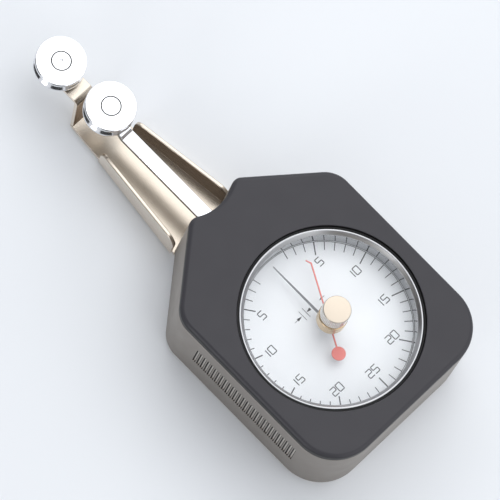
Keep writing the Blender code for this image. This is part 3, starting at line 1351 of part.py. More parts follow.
def make_roller_set(bench, prefix, y, seat_top, seat_thickness, washer_height):
    """A roller, the pin it turns on and the washer under it; seat_top is what carries them."""
    washer_low = seat_top + FINE_GAP
    low = washer_low + washer_height + FINE_GAP
    top = low + ROLLER_THICKNESS
    roller = bench.keep(turned(f"{prefix}_roller", roller_profile(top), 0, y, SIDES, ring=True),
                        "bright")
    rivet_top = seat_top - seat_thickness - FINE_GAP
    pin = bench.keep(turned(f"{prefix}_roller_pin", [
        (0, top), (PIN_HEAD_RADIUS, top), (PIN_HEAD_RADIUS, top - PIN_HEAD_HEIGHT),
        (PIN_RADIUS, top - PIN_HEAD_HEIGHT), (PIN_RADIUS, rivet_top),
        (PIN_RIVET_RADIUS, rivet_top), (PIN_RIVET_RADIUS, rivet_top - PIN_RIVET_HEIGHT),
        (0, rivet_top - PIN_RIVET_HEIGHT)], 0, y, SMALL_SIDES), "bright")
    washer = bench.keep(turned(f"{prefix}_roller_washer", ring_profile(
        PIN_RADIUS + RUN_GAP, WASHER_RADIUS, washer_low, washer_low + washer_height),
        0, y, SMALL_SIDES, ring=True), "brass")
    return roller, pin, washer


# The whole meter

def make_body(bench):
    make_back_plate(bench)
    make_case(bench)
    make_cover(bench)
    make_case_screws(bench)
    make_fork_screws(bench)
    make_ring(bench)
    make_gasket(bench)
    make_lens(bench)
    make_dial(bench)


def make_movement(bench):
    make_movement_plates(bench)
    make_pillars(bench)
    make_movement_screws(bench)
    make_top_screws(bench)
    make_bushes(bench)
    make_stop_pins(bench)
    make_measuring_spring(bench)
    make_hairspring(bench)


def make_moving_parts(bench):
    lever_axis = axis_empty(bench, "lever_axis", 0, LEVER_AXIS_Y)
    pointer_axis = axis_empty(bench, "pointer_axis", 0, 0)
    peak_axis = axis_empty(bench, "peak_axis", 0, 0)
    lever_roller, lever_pin, lever_washer = make_roller_set(
        bench, "lever", LEVER_ROLLER_Y, LEVER_TOP + JOGGLE_RISE, LEVER_THICKNESS,
        LEVER_WASHER_HEIGHT)
    make_roller_set(bench, "fixed", FIXED_ROLLER_Y, TAB_TOP, SHEET_THICKNESS,
                    FIXED_WASHER_HEIGHT)
    hang(lever_axis, make_lever(bench), make_lever_arbor(bench), make_lever_hub(bench),
         make_sector(bench), make_measuring_collet(bench), lever_pin, lever_washer, lever_roller)
    hang(pointer_axis, make_pointer_arbor(bench), make_pinion(bench),
         make_hairspring_collet(bench), make_main_pointer(bench))
    hang(peak_axis, make_peak_pointer(bench), make_knob_shaft(bench), make_knob(bench))
    make_knob_bush(bench)
    make_knob_bush_nut(bench)


def main():
    clear_scene()
    bench = Bench()
    make_body(bench)
    make_movement(bench)
    make_moving_parts(bench)


main()
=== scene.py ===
"""Yarn tension meter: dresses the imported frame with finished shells, a printed dial and a stage.

Everything is in metres, in the frame's own axes: the meter lies on its back, +Z comes out of the
dial and +Y runs towards the rollers.
"""

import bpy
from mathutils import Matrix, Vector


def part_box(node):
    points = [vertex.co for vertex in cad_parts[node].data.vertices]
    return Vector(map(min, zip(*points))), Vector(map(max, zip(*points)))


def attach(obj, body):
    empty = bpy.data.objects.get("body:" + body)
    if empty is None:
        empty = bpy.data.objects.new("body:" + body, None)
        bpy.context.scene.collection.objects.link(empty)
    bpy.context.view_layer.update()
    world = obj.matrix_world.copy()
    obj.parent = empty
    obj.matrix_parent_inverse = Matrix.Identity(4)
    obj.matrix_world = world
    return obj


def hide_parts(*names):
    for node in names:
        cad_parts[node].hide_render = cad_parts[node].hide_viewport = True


bl_info = {
    "name": "Yarn Tension Meter",
    "version": (1, 0, 0),
    "blender": (4, 5, 0),
    "location": "View3D > Sidebar > Tension Meter",
    "description": "Builds the finished surfaces of a dial yarn tension meter",
    "category": "Add Mesh",
}

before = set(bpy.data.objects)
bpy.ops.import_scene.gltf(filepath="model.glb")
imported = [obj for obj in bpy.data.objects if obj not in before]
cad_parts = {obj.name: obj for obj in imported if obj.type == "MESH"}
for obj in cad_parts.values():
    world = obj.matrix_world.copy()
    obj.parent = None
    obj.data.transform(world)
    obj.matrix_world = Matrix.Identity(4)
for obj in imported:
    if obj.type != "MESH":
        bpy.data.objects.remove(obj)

import math
from functools import partial

import bmesh
import bpy
from bpy.props import FloatProperty, FloatVectorProperty, IntProperty, PointerProperty
from mathutils import Matrix, Vector

MM = 0.001
DEG = math.pi / 180
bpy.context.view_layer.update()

# A cutter's reach past what it cuts, the length below which points are one, and the angles
# from which edges are shaded sharp
OVERRUN = MM
TINY = MM / 1000
SHARP = 40 * DEG
SHEET_SHARP = 35 * DEG


def levels(node):
    """Lowest and highest level of a frame node."""
    low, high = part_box(node)
    return low.z, high.z


def centre_of(node):
    """The middle of a frame node, seen from above."""
    low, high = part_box(node)
    return (low.x + high.x) / 2, (low.y + high.y) / 2


def reach(node):
    """How far a frame node reaches to the right of the dial's centre."""
    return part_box(node)[1].x


def linear(code):
    """Linear colour of an sRGB hex value."""
    shades = [int(code[start:start + 2], 16) / 255 for start in (0, 2, 4)]
    return tuple(shade / 12.92 if shade <= 0.04045 else ((shade + 0.055) / 1.055) ** 2.4
                 for shade in shades)


# Sizes that the frame gives
CASE_LOW, CASE_TOP = levels("case_body")
COVER_LOW, COVER_TOP = levels("front_cover")
RING_LOW, RING_TOP = levels("bezel_ring")
LENS_LOW, LENS_TOP = levels("lens")
DIAL_LOW, DIAL_TOP = levels("dial_plate")
LEVER_LOW = levels("measuring_lever")[0]
LEVER_AXIS_Y = centre_of("lever_arbor")[1]
LEVER_ROLLER_Y = centre_of("lever_roller")[1]
FIXED_ROLLER_Y = centre_of("fixed_roller")[1]
BODY_HALF_WIDTH = reach("front_cover")
BODY_BOTTOM_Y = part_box("front_cover")[0].y

# Outline of the body
NECK_HALF_WIDTH = 8.35 * MM
NECK_Y = 44.56 * MM
NOTCH_Y = 40.7 * MM
SHOULDER_Y = 27.4 * MM
SHOULDER_SLOPE = (NECK_Y - SHOULDER_Y) / (BODY_HALF_WIDTH - NECK_HALF_WIDTH)
BOTTOM_CORNER = 12.5 * MM
SHOULDER_CORNER = 8.0 * MM
NECK_CORNER = 3.0 * MM
NOTCH_CORNER = 13.0 * MM

# Cover and case
CASE_WALL = 2.0 * MM
CASE_CHAMFER = 0.6 * MM
CASE_SOFT = 0.06 * MM
BORE_RADIUS = 25.2 * MM
BORE_WALL = 1.5 * MM
BORE_LIP = 0.25 * MM
COVER_POCKET = 1.5 * MM
GROOVE_TOP = COVER_TOP - 8.5 * MM
GROOVE_FIRST_Y = BODY_BOTTOM_Y + BOTTOM_CORNER + 0.6 * MM
GROOVE_MOUTH = 0.08 * MM
NECK_MOUTH_HALF = 6.6 * MM
NECK_MOUTH_CORNER = 0.8 * MM
NECK_MOUTH_ROOM = 1.6 * MM
NECK_MOUTH_DEPTH = 4 * MM

# Back plate and fork
SHEET = 1.1 * MM
BACK_INSET = 1.2 * MM
BACK_ROOT = 0.9 * MM
FLANGE_START_Y = 44.3 * MM
FLANGE_END_Y = 75.2 * MM
FLANGE_HALF_START = 10.75 * MM
FLANGE_HALF_END = 7.0 * MM
FLANGE_TOP_START = 9.6 * MM
FLANGE_TOP_END = 7.6 * MM
FLANGE_ENDS = ((FLANGE_START_Y, 3.4 * MM, 1), (FLANGE_END_Y, 2.0 * MM, -1))
FLANGE_TIP = 0.3 * MM
STRIP_HALF_START = 6.4 * MM
STRIP_HALF_END = 5.4 * MM
STRIP_EDGE = 0.15 * MM
STEP_FOOT_Y = 87.4 * MM
STEP_HEAD_Y = 89.8 * MM
TAB_TOP = 11.3 * MM
TAB_HALF = 3.2 * MM
TAB_END_RADIUS = 4.2 * MM
TAB_ROUND_START_Y = STEP_HEAD_Y + 2 * MM

# Countersunk screws, by the starts of the frame nodes' names
COUNTERSUNK = ("case_screw", "fork_screw", "movement_screw")
SLOT_DEPTH = 0.4 * MM
SLOT_HALF = 0.2 * MM
SCREW_SLIP = 0.02 * MM
SINK_SLIP = 0.1 * MM

# Edge of small turned pieces
BROKEN_EDGE = 0.08 * MM

# Ring, window and dial
RING_LAND = 0.5 * MM
RING_INNER = 23.05 * MM
RING_SLIP = 0.05 * MM
RING_ROUNDS = (0.25 * MM, 0.3 * MM, 0.1 * MM, 0.1 * MM, 0.5 * MM)
GASKET_ROUND = 0.2 * MM
LENS_HOLE = 2.35 * MM
LENS_HOLE_EDGE = 0.12 * MM
LENS_RIM_EDGE = 0.02 * MM
DIAL_HOLE = 1.8 * MM
DIAL_THICKNESS = 0.6 * MM
DIAL_FEET = 3
FOOT_CIRCLE = 9 * MM
FOOT_RADIUS = 1.3 * MM
FOOT_SUNK = 0.4 * MM
INK_FILM = 0.02 * MM
SHORT_STROKE_WIDTH = 0.22 * MM
LONG_STROKE_WIDTH = 0.32 * MM
DIGIT_STROKE = 0.26 * MM
DIGIT_CORNER = 0.22 * MM
HOOP_WIDTH = 0.12 * MM
ARROW_STROKE = 0.14 * MM
ARROW_Y = 6.3 * MM

# Pointers
HAND_SHEET = 0.25 * MM
HAND_TIP_Y = 20.8 * MM
HAND_ROOT_HALF = 0.4 * MM
HAND_TIP_HALF = 0.12 * MM
HAND_SUNK = 0.125 * MM
BOSS_RADIUS = 1.5 * MM
BOSS_HEIGHT = 1.2 * MM
BOSS_EDGE = 0.1 * MM
PEAK_ANGLE = 28.5 * DEG
PEAK_HALF = 0.19 * MM
PEAK_REACH = 16.7 * MM
PEAK_HOOK = 1.6 * MM * math.sqrt(0.5)
PEAK_TAIL = 8.7 * MM
PEAK_DISC_RADIUS = 1.9 * MM
PEAK_DISC_RISE = 0.03 * MM
PEAK_DISC_EDGE = 0.06 * MM
PEAK_HUB_RADIUS = 1.4 * MM
PEAK_HUB_HEIGHT = 0.8 * MM
DRAG_PIN_PLACE = 12.0 * MM
DRAG_PIN_RADIUS = 0.2 * MM
DRAG_PIN_SUNK = 0.1 * MM

# Reset knob, its shaft, bush and nut
KNOB_EDGE = 0.12 * MM
RIDGE_HALF = 0.17 * MM
RIDGE_SLOPE = 0.2 * MM
RIDGE_ROOT = 0.2 * MM
RIDGE_MARGIN = 0.35 * MM
RIDGE_FLANK_SHARE = 0.2
SHAFT_RADIUS = 0.75 * MM
BUSH_BORE = 0.87 * MM
BUSH_RADIUS = 2.2 * MM
BUSH_SEAT = 0.15 * MM
BUSH_EDGE = 0.1 * MM
BUSH_COLLAR_ROUND = 0.3 * MM
NUT_RADIUS = 3.4 * MM

# Rollers with their pins and washers
ROLLER_RADIUS = 7.0 * MM
ROLLER_EDGE = 0.22 * MM
YARN_GROOVE_RADIUS = 5.7 * MM
YARN_GROOVE_HALF = 1.35 * MM
ROLLER_BORE = 1.62 * MM
ROLLER_RECESS_RADIUS = 2.78 * MM
ROLLER_RECESS_DEPTH = 1.15 * MM
PIN_RADIUS = 1.5 * MM
PIN_HEAD_RADIUS = 2.52 * MM
PIN_HEAD_HEIGHT = 1.0 * MM
PIN_FOOT_RADIUS = 2.2 * MM
PIN_FOOT_HEIGHT = 0.6 * MM
WASHER_RADIUS = 2.6 * MM
WASHER_EDGE = 0.12 * MM
# Half width and drop below the roller's top of the painted shade in the slot round each pin
SHADE_GAP_HALF = 0.2 * MM
SHADE_GAP_DROP = 0.05 * MM

# Lever
LEVER_THICKNESS = 1.7 * MM
LEVER_HALF = 2.0 * MM
LEVER_EDGE = 0.28 * MM
LEVER_EYE_RADIUS = 4.4 * MM
LEVER_PAD_RADIUS = 3.4 * MM
LEVER_BAR_START_Y = 40 * MM
LEVER_BAR_END_Y = 77 * MM
LEVER_PAD_START_Y = 77.5 * MM
JOGGLE_FOOT_Y = 74.1 * MM
JOGGLE_HEAD_Y = 75.6 * MM
JOGGLE_RISE = 1.4 * MM
JOGGLE_BEND = 1.6 * MM

# Camera: where the photograph was taken from
CAMERA_EYE = Vector((-0.60533, -0.15196, 1.92773))
CAMERA_AHEAD = Vector((0.30107, 0.08980, -0.94936))
CAMERA_DOWN = Vector((-0.65078, -0.70834, -0.27338))
CAMERA_LENS = 551.0
CAMERA_SENSOR = 36.0

# Stage
STAGE_MIDDLE = Vector((0, 0.03, 0.01))
FLOOR_SIZE = 6.0
FLOOR_DROP = 0.05 * MM
AIR_COLOUR = (0.93, 0.95, 1.0, 1)


# Settings that a user would change

def length_setting(name, about, size, **limits):
    """A length that a user can change."""
    return FloatProperty(name=name, description=about, default=size, unit="LENGTH", **limits)


def colour_setting(name, about, code):
    """A colour that a user can change; its default is given as an sRGB hex value."""
    return FloatVectorProperty(name=name, description=about, default=linear(code),
                               subtype="COLOR", size=3)


class BodySettings(bpy.types.PropertyGroup):
    cover_edge: length_setting("Cover edge", "Radius of the front cover's outer edge", 1.3 * MM,
                               min=0.1 * MM, max=2.2 * MM)
    groove_count: IntProperty(
        name="Grip grooves", description="Grooves in each side wall", default=28, min=1, max=40)
    groove_pitch: length_setting("Groove pitch", "Distance between two grip grooves", 1.33 * MM)
    groove_width: length_setting("Groove width", "Width of a grip groove", 0.86 * MM)
    groove_height: length_setting("Groove height", "Height of a grip groove", 9.4 * MM)
    groove_depth: length_setting("Groove depth", "How deep a grip groove is cut", 0.4 * MM)
    cover_colour: colour_setting("Cover", "Colour of the cover's paint", "3A393D")
    case_colour: colour_setting("Case", "Colour of the cast case", "9A948E")


class ForkSettings(bpy.types.PropertyGroup):
    bend: length_setting("Bend", "Inner radius of the fork's bends", 0.03 * MM)
    colour: colour_setting("Nickel", "Colour of the nickel plating", "CFC5B7")


class DialSettings(bpy.types.PropertyGroup):
    divisions: IntProperty(
        name="Divisions", description="Divisions round the whole dial", default=50, min=10)
    major_every: IntProperty(
        name="Major every", description="Every how many divisions a long stroke comes",
        default=5, min=2)
    outer_radius: length_setting("Scale radius", "Radius of the scale's outer circle", 22.9 * MM)
    minor_length: length_setting("Short stroke", "Length of a short stroke", 2.3 * MM)
    major_length: length_setting("Long stroke", "Length of a long stroke", 3.6 * MM)
    digit_height: length_setting("Digit height", "Height of the dial's numbers", 2.2 * MM)
    face_colour: colour_setting("Face", "Colour of the dial's enamel", "FAFDFF")
    ink_colour: colour_setting("Ink", "Colour of the dial's print", "55575A")
    pointer_colour: colour_setting("Pointer", "Colour of the main pointer", "77797D")
    peak_colour: colour_setting("Peak pointer", "Colour of the peak pointer", "EA8780")


class KnobSettings(bpy.types.PropertyGroup):
    ridges: IntProperty(
        name="Ridges", description="Ridges round the knob's grip", default=48, min=8)
    ridge_height: length_setting("Ridge height", "How far a ridge stands out", 0.16 * MM)
    brass_colour: colour_setting("Brass", "Colour of the knob's brass", "C8BDAE")


class StageSettings(bpy.types.PropertyGroup):
    floor_colour: colour_setting("Floor", "Colour of the floor", "E6E9EC")
    key_power: FloatProperty(
        name="Key light", description="Power of the large overhead light in watts",
        default=4.6, min=0.0, unit="POWER")
    fill_power: FloatProperty(
        name="Fill light", description="Power of the side lights in watts", default=3.4,
        min=0.0, unit="POWER")
    air: FloatProperty(
        name="Surrounding light", description="Strength of the light from all round",
        default=0.78, min=0.0)


class MeterSettings(bpy.types.PropertyGroup):
    body: PointerProperty(type=BodySettings, name="Body", description="Case and cover")
    fork: PointerProperty(type=ForkSettings, name="Fork", description="Back plate and fork")
    dial: PointerProperty(type=DialSettings, name="Dial", description="Dial and pointers")
    knob: PointerProperty(type=KnobSettings, name="Knob", description="Reset knob")
    stage: PointerProperty(type=StageSettings, name="Stage", description="Floor and light")


# Nodes

# At scale 1 the wave node's rings lie this far apart, so as its scale it makes that one unit.
WAVE_SPACING = 0.314

# Patches of uneven gloss, as wide as a fingertip's touch or a stroke of the polisher
PAINT_PATCH = 6 * MM
METAL_PATCH = 4 * MM
CAST_PATCH = 5 * MM


def set_inputs(node, inputs):
    """Sets or links a node's inputs; a node given as a value stands for its first live output."""
    for key, value in inputs.items():
        if isinstance(value, bpy.types.Node):
            value = next(socket for socket in value.outputs if socket.enabled)
        if isinstance(value, bpy.types.NodeSocket):
            node.id_data.links.new(value, node.inputs[key])
        else:
            node.inputs[key].default_value = value


def add_node(tree, kind, inputs=None, **settings):
    """Adds a node with its settings, and its inputs' values and links by their name or place."""
    node = tree.nodes.new(kind)
    for name, value in settings.items():
        setattr(node, name, value)
    set_inputs(node, inputs or {})
    return node


def nodes_of(material):
    """The function that adds nodes to a material, and the material's shader."""
    tree = material.node_tree
    return partial(add_node, tree), tree.nodes["Principled BSDF"]


def new_material(name, inputs):
    """A new material with these inputs on its shader, and what nodes_of says of it."""
    material = bpy.data.materials.new(name)
    material.use_nodes = True
    add, shader = nodes_of(material)
    set_inputs(shader, inputs)
    return material, add, shader


def object_pattern(add, scale, centre=(0, 0, 0)):
    """Object coordinates in pattern units, centred on a piece."""
    moved = add("ShaderNodeMapping", {
        "Vector": add("ShaderNodeTexCoord").outputs["Object"],
        "Location": tuple(-c for c in centre)}, vector_type="POINT")
    return add("ShaderNodeVectorMath", {0: moved, 1: scale}, operation="MULTIPLY")


def upward(add):
    """How much a face looks up: 1 for a level one, 0 for an upright one."""
    normal = add("ShaderNodeNewGeometry").outputs["Normal"]
    return add("ShaderNodeSeparateXYZ", {0: normal}).outputs[2]


def grain(add, shader, spacing, depth, stretch=(1, 1, 1)):
    """Fine relief: noise whose features lie spacing apart, longer along the stretched axes."""
    scale = tuple(1 / (spacing * along) for along in stretch)
    noise = add("ShaderNodeTexNoise", {
        "Vector": object_pattern(add, scale), "Scale": 1.0, "Detail": 2.0})
    set_inputs(shader, {"Normal": add("ShaderNodeBump", {
        "Height": noise, "Distance": depth, "Strength": 1.0})})


def wander(add, shader, low, high, spacing):
    """Roughness that wanders between two values, as handling and polishing leave it."""
    noise = add("ShaderNodeTexNoise", {
        "Vector": object_pattern(add, (1 / spacing,) * 3), "Scale": 1.0, "Detail": 3.0})
    set_inputs(shader, {"Roughness": add("ShaderNodeMapRange", {
        "Value": noise, "From Min": 0.3, "From Max": 0.7, "To Min": low, "To Max": high})})


def make_paint(name, colour, roughness, grit, depth):
    """Paint, print or rubber: an even coat with a fine grit."""
    material, add, shader = new_material(name, {"Base Color": (*colour, 1), "IOR": 1.5})
    uneven = 0.04
    wander(add, shader, roughness - uneven, roughness + uneven, PAINT_PATCH)
    grain(add, shader, grit, depth)
    return material


def make_paint_with_painted_shade(name, colour, painted_shading_colour, spacing, depth):
    """Enamel or lacquer with its upright sides and edges painted darker as shade; the flat face
    keeps its own colour.
    """
    material = make_paint(name, colour, 0.4, spacing, depth)
    add, shader = nodes_of(material)
    # Painted shade: faces that look sideways take the darker colour, level faces keep the paint's
    # own
    flat = add("ShaderNodeMapRange", {"Value": upward(add), "From Min": 0.15, "From Max": 0.6})
    tint = add("ShaderNodeMix", {
        "Factor": flat, "A": (*painted_shading_colour, 1), "B": (*colour, 1)}, data_type="RGBA")
    set_inputs(shader, {"Specular IOR Level": 0.28, "Base Color": tint})
    return material


def make_metal(name, colour, roughness, spacing, depth, stretch=(1, 1, 1), spread=0.2):
    """A bare or plated metal; stretch says which way its fine scratches run."""
    material, add, shader = new_material(name, {"Base Color": (*colour, 1), "Metallic": 1.0})
    wander(add, shader, roughness * (1 - spread), roughness * (1 + spread), METAL_PATCH)
    grain(add, shader, spacing, depth, stretch)
    return material


def make_nickel(name, colour, outer_painted_light, inner_painted_shade):
    """Plated sheet whose upright faces are painted: brown shade where they face the middle of the
    channel, bright light where they face away.
    """
    material = make_metal(name, colour, 0.26, 0.12 * MM, 0.002 * MM, (1, 14, 1), 0.04)
    add, shader = nodes_of(material)
    middle = (0, (FLANGE_START_Y + FLANGE_END_Y) / 2, 0)
    place = add("ShaderNodeVectorMath", {
        0: add("ShaderNodeTexCoord").outputs["Object"], 1: middle}, operation="SUBTRACT")
    outward = add("ShaderNodeVectorMath", {
        0: add("ShaderNodeNewGeometry").outputs["Normal"], 1: place}, operation="DOT_PRODUCT")
    outside = add("ShaderNodeMath", {0: outward, 1: 0.0}, operation="GREATER_THAN")
    # Painted shade on upright faces towards the channel's middle, painted light on those facing
    # away
    side = add("ShaderNodeMix", {
        "Factor": outside, "A": (*inner_painted_shade, 1), "B": (*outer_painted_light, 1)}, data_type="RGBA")
    upright = add("ShaderNodeMath", {0: upward(add), 1: 0.0, 2: 0.3}, operation="COMPARE")
    set_inputs(shader, {"Base Color": add("ShaderNodeMix", {
        "Factor": upright, "A": (*colour, 1), "B": side}, data_type="RGBA")})
    return material


def make_buffed(name, dull_colour, colour):
    """Punched steel buffed on its upper face only; the edges and the underside stay dull."""
    material, add, shader = new_material(name, {"Metallic": 1.0})
    buffed = add("ShaderNodeMapRange", {
        "Value": upward(add), "From Min": 0.25, "From Max": 0.6})
    tint = add("ShaderNodeMix", {
        "Factor": buffed, "A": (*dull_colour, 1), "B": (*colour, 1)}, data_type="RGBA")
    gloss = add("ShaderNodeMapRange", {"Value": buffed, "To Min": 0.42, "To Max": 0.15})
    set_inputs(shader, {"Base Color": tint, "Roughness": gloss})
    grain(add, shader, 0.1 * MM, 0.001 * MM, (1, 16, 1))
    return material


def make_mirror(name, colour):
    """Chromed and polished metal without any visible grain, its slanted chamfer left dull."""
    material, add, shader = new_material(name, {"Base Color": (*colour, 1), "Metallic": 1.0})
    slanted = add("ShaderNodeMath", {0: upward(add), 1: 0.5, 2: 0.35}, operation="COMPARE")
    set_inputs(shader, {"Roughness": add("ShaderNodeMapRange", {
        "Value": slanted, "To Min": 0.07, "To Max": 0.28})})
    return material


def make_cast(name, body, painted_shading_colour, groove_shade_colour):
    """Blasted cast metal whose grip grooves carry painted shade along their walls and borders, and
    painted light in the middle of their floors.
    """
    material, add, shader = new_material(name, {"Metallic": 1.0})
    pitch = body.groove_pitch
    row = pitch * (body.groove_count - 1) / 2
    tall = body.groove_height / 2
    pale, shade_reach, face_slip, end_slip = 0.1 * MM, 0.3 * MM, 0.02 * MM, 0.2 * MM
    place = add("ShaderNodeSeparateXYZ", {
        0: add("ShaderNodeTexCoord").outputs["Object"]}).outputs
    # How far a place lies from the middle of the nearest groove, in pitches
    count = add("ShaderNodeMath", {
        0: place[1], 1: 1 / pitch, 2: -GROOVE_FIRST_Y / pitch}, operation="MULTIPLY_ADD")
    aside = add("ShaderNodeMath", {0: count, 1: 0.5}, operation="PINGPONG")
    corner = add("ShaderNodeMapRange", {
        "Value": aside, "From Min": pale / pitch, "From Max": shade_reach / pitch})
    # Within a groove, a place is behind the wall's face, in the row and in the row's height
    across = add("ShaderNodeMath", {0: place[0]}, operation="ABSOLUTE")
    deep = add("ShaderNodeMath", {0: across, 1: BODY_HALF_WIDTH - face_slip},
               operation="LESS_THAN")
    in_row = add("ShaderNodeMath", {0: place[1], 1: GROOVE_FIRST_Y + row, 2: row + pitch / 2},
                 operation="COMPARE")
    in_height = add("ShaderNodeMath", {0: place[2], 1: GROOVE_TOP - tall, 2: tall + end_slip},
                    operation="COMPARE")
    inside = add("ShaderNodeMath", {0: in_row, 1: in_height}, operation="MULTIPLY")
    sunk = add("ShaderNodeMath", {0: inside, 1: deep}, operation="MULTIPLY")
    # Painted light in the middle of each groove's floor, painted shade towards its walls
    groove = add("ShaderNodeMix", {
        "Factor": corner, "A": (*painted_shading_colour, 1), "B": (*groove_shade_colour, 1)}, data_type="RGBA")
    set_inputs(shader, {"Base Color": add("ShaderNodeMix", {
        "Factor": sunk, "A": (*body.case_colour, 1), "B": groove}, data_type="RGBA")})
    wander(add, shader, 0.46, 0.54, CAST_PATCH)
    grain(add, shader, 0.18 * MM, 0.01 * MM)
    return material


def make_turned(name, colour, roughness, feed, depth, centre, gap=None, face_roughness=None):
    """Metal turned on a lathe: fine rings round a centre, feed apart.

    A gap (radius, half width, level) is a narrow slot round the centre, painted dark as shade.
    The flat ends have a roughness of their own where they are ground and not polished.
    """
    material, add, shader = new_material(name, {
        "Base Color": (*colour, 1), "Metallic": 1.0, "Roughness": roughness})
    if gap:
        radius, half, level = gap
        place = add("ShaderNodeSeparateXYZ", {
            0: object_pattern(add, (1, 1, 1), centre)}).outputs
        flat = add("ShaderNodeCombineXYZ", {0: place[0], 1: place[1]})
        away = add("ShaderNodeVectorMath", {0: flat}, operation="LENGTH")
        near = add("ShaderNodeMath", {0: away, 1: radius, 2: half}, operation="COMPARE")
        below = add("ShaderNodeMath", {0: place[2], 1: level}, operation="LESS_THAN")
        in_shaded_gap = add("ShaderNodeMath", {0: near, 1: below}, operation="MULTIPLY")
        # Painted shade: the slot's walls take a dark colour
        set_inputs(shader, {"Base Color": add("ShaderNodeMix", {
            "Factor": in_shaded_gap, "A": (*colour, 1), "B": (*linear("2A2826"), 1)},
            data_type="RGBA")})
    if face_roughness:
        set_inputs(shader, {"Roughness": add("ShaderNodeMapRange", {
            "Value": upward(add), "From Min": 0.9, "From Max": 0.98, "To Min": roughness,
            "To Max": face_roughness})})
    rings = add("ShaderNodeTexWave", {
        "Vector": object_pattern(add, (1 / feed,) * 3, centre), "Scale": WAVE_SPACING,
        "Distortion": 0.6, "Detail": 1.0}, wave_type="RINGS", rings_direction="Z")
    set_inputs(shader, {"Normal": add("ShaderNodeBump", {
        "Height": rings.outputs["Fac"], "Distance": depth, "Strength": 1.0})})
    return material


def make_clear(name):
    """Moulded acrylic: nearly all of the light goes straight through, and it casts no shadow."""
    material, add, shader = new_material(name, {
        "Base Color": (1, 1, 1, 1), "IOR": 1.49, "Roughness": 0.04})
    facing = add("ShaderNodeLayerWeight", {"Blend": 0.25}).outputs["Fresnel"]
    set_inputs(shader, {"Alpha": add("ShaderNodeMapRange", {
        "Value": facing, "To Min": 0.015, "To Max": 0.3})})
    return material


MATERIALS = {}


def make_materials(settings):
    """Every finish of the meter, by the plain name that the pieces ask for.

    One pixel of the picture is about a quarter of a millimetre. So the grits, scratches and
    tool marks, which are some hundredths of a millimetre apart on the real pieces, are drawn
    0.1 to 0.3 mm apart, as coarse as they need to show.
    """
    body, fork, dial, knob = settings.body, settings.fork, settings.dial, settings.knob
    dial_centre = (0, 0, COVER_TOP)
    MATERIALS.update({
        # Baked enamel over die-cast zinc: satin, with the faint orange peel of sprayed paint,
        # and painted darker round the edge and sides as shade.
        "paint": make_paint_with_painted_shade("charcoal_stove_enamel", body.cover_colour, linear("0C0B0B"),
                                  0.5 * MM, 0.003 * MM),
        # Bead-blasted cast aluminium: an even grey without direction, with painted shade and
        # painted light in its grip grooves.
        "cast": make_cast("bead_blasted_aluminium", body, linear("CFC9C2"), linear("2C2A28")),
        # Nickel-plated spring steel: warm, satin, with the sheet's rolling lines along the fork;
        # its upright faces carry painted shade inside the channel and painted light outside.
        "nickel": make_nickel("nickel_plated_sheet", fork.colour, linear("F2E8DB"),
                              linear("97836F")),
        # Ground and buffed steel: bright, with faint lines along the bar.
        "bright": make_buffed("buffed_steel_bar", linear("A09A92"), linear("F1F2F4")),
        # Nitrile cord squeezed round the ring: matt black.
        "rubber": make_paint("black_nitrile_rubber", linear("101011"), 0.7, 0.25 * MM,
                             0.008 * MM),
        # Moulded acrylic: clear, and pale only where it is seen at a slant.
        "lens": make_clear("moulded_acrylic"),
        # Flocked card beside the lights: dull and dark, and seen in reflections alone.
        "card": make_paint("dark_flock_card", linear("383838"), 0.9, 1 * MM, 0),
        # Matt enamel on the dial plate, so that the numbers stay free of glare.
        "face": make_paint("matt_dial_enamel", dial.face_colour, 0.55, 0.3 * MM, 0.001 * MM),
        # Screen-printed ink: a thin matt film.
        "ink": make_paint("printed_grey_ink", dial.ink_colour, 0.6, 0.2 * MM, 0.001 * MM),
        # Lacquer sprayed on punched sheet: satin grey.
        "pointer": make_paint("grey_pointer_lacquer", dial.pointer_colour, 0.4, 0.2 * MM,
                              0.001 * MM),
        # The same in red, with its cut edges and sides painted darker as shade.
        "peak": make_paint_with_painted_shade("red_pointer_lacquer", dial.peak_colour, linear("7E4442"),
                                 0.2 * MM, 0.001 * MM),
        # Cut brass plates of the movement, lined along their length.
        "plate_brass": make_metal("lined_brass_plate", linear("D6AF73"), 0.3, 0.15 * MM,
                                  0.003 * MM, (1, 12, 1)),
        # Cold-rolled phosphor bronze strip: a warm brown with a satin skin.
        "spring": make_metal("phosphor_bronze_strip", linear("C08A4E"), 0.3, 0.1 * MM,
                             0.002 * MM),
        # Zinc-plated steel: cool, bright and slightly uneven.
        "screw": make_metal("zinc_plated_screw", linear("C9CBCE"), 0.28, 0.15 * MM, 0.003 * MM),
        # Chromed brass ring: so smooth inside that its wall mirrors the dial's strokes.
        "ring": make_mirror("chromed_ring", linear("AEAFB1")),
        # Brass turned on a lathe: pale gold with the tool's rings.
        "collar": make_turned("turned_brass_bush", linear("D6BF9E"), 0.25, 0.2 * MM, 0.001 * MM,
                              dial_centre),
        # The knob's turned brass: dulled by fingers, its rings softer.
        "knob": make_turned("turned_knob_brass", knob.brass_colour, 0.4, 0.16 * MM, 0.003 * MM,
                            dial_centre),
        # Nickelled crests of the knurl: brighter and whiter than the knob between them.
        "knurl": make_metal("nickelled_knurl", linear("E6E4E1"), 0.28, 0.1 * MM, 0.003 * MM),
    })
    for name, y in (("lever_roller", LEVER_ROLLER_Y), ("fixed_roller", FIXED_ROLLER_Y)):
        # Hardened roller, ground on its faces and polished in the groove; the slot round its
        # pin is painted dark as shade.
        gap_shade = ((PIN_HEAD_RADIUS + ROLLER_RECESS_RADIUS) / 2, SHADE_GAP_HALF,
               levels(name)[1] - SHADE_GAP_DROP)
        MATERIALS[name] = make_turned(f"{name}_ground_steel", linear("F0F1F3"), 0.12, 0.2 * MM,
                                      0.0004 * MM, (0, y, 0), gap_shade, 0.34)


# Outlines

def crossing(point_a, along_a, point_b, along_b):
    """Where two lines meet, each given by a point and a direction."""
    cross = along_a.x * along_b.y - along_a.y * along_b.x
    between = point_b - point_a
    return point_a + along_a * ((between.x * along_b.y - between.y * along_b.x) / cross)


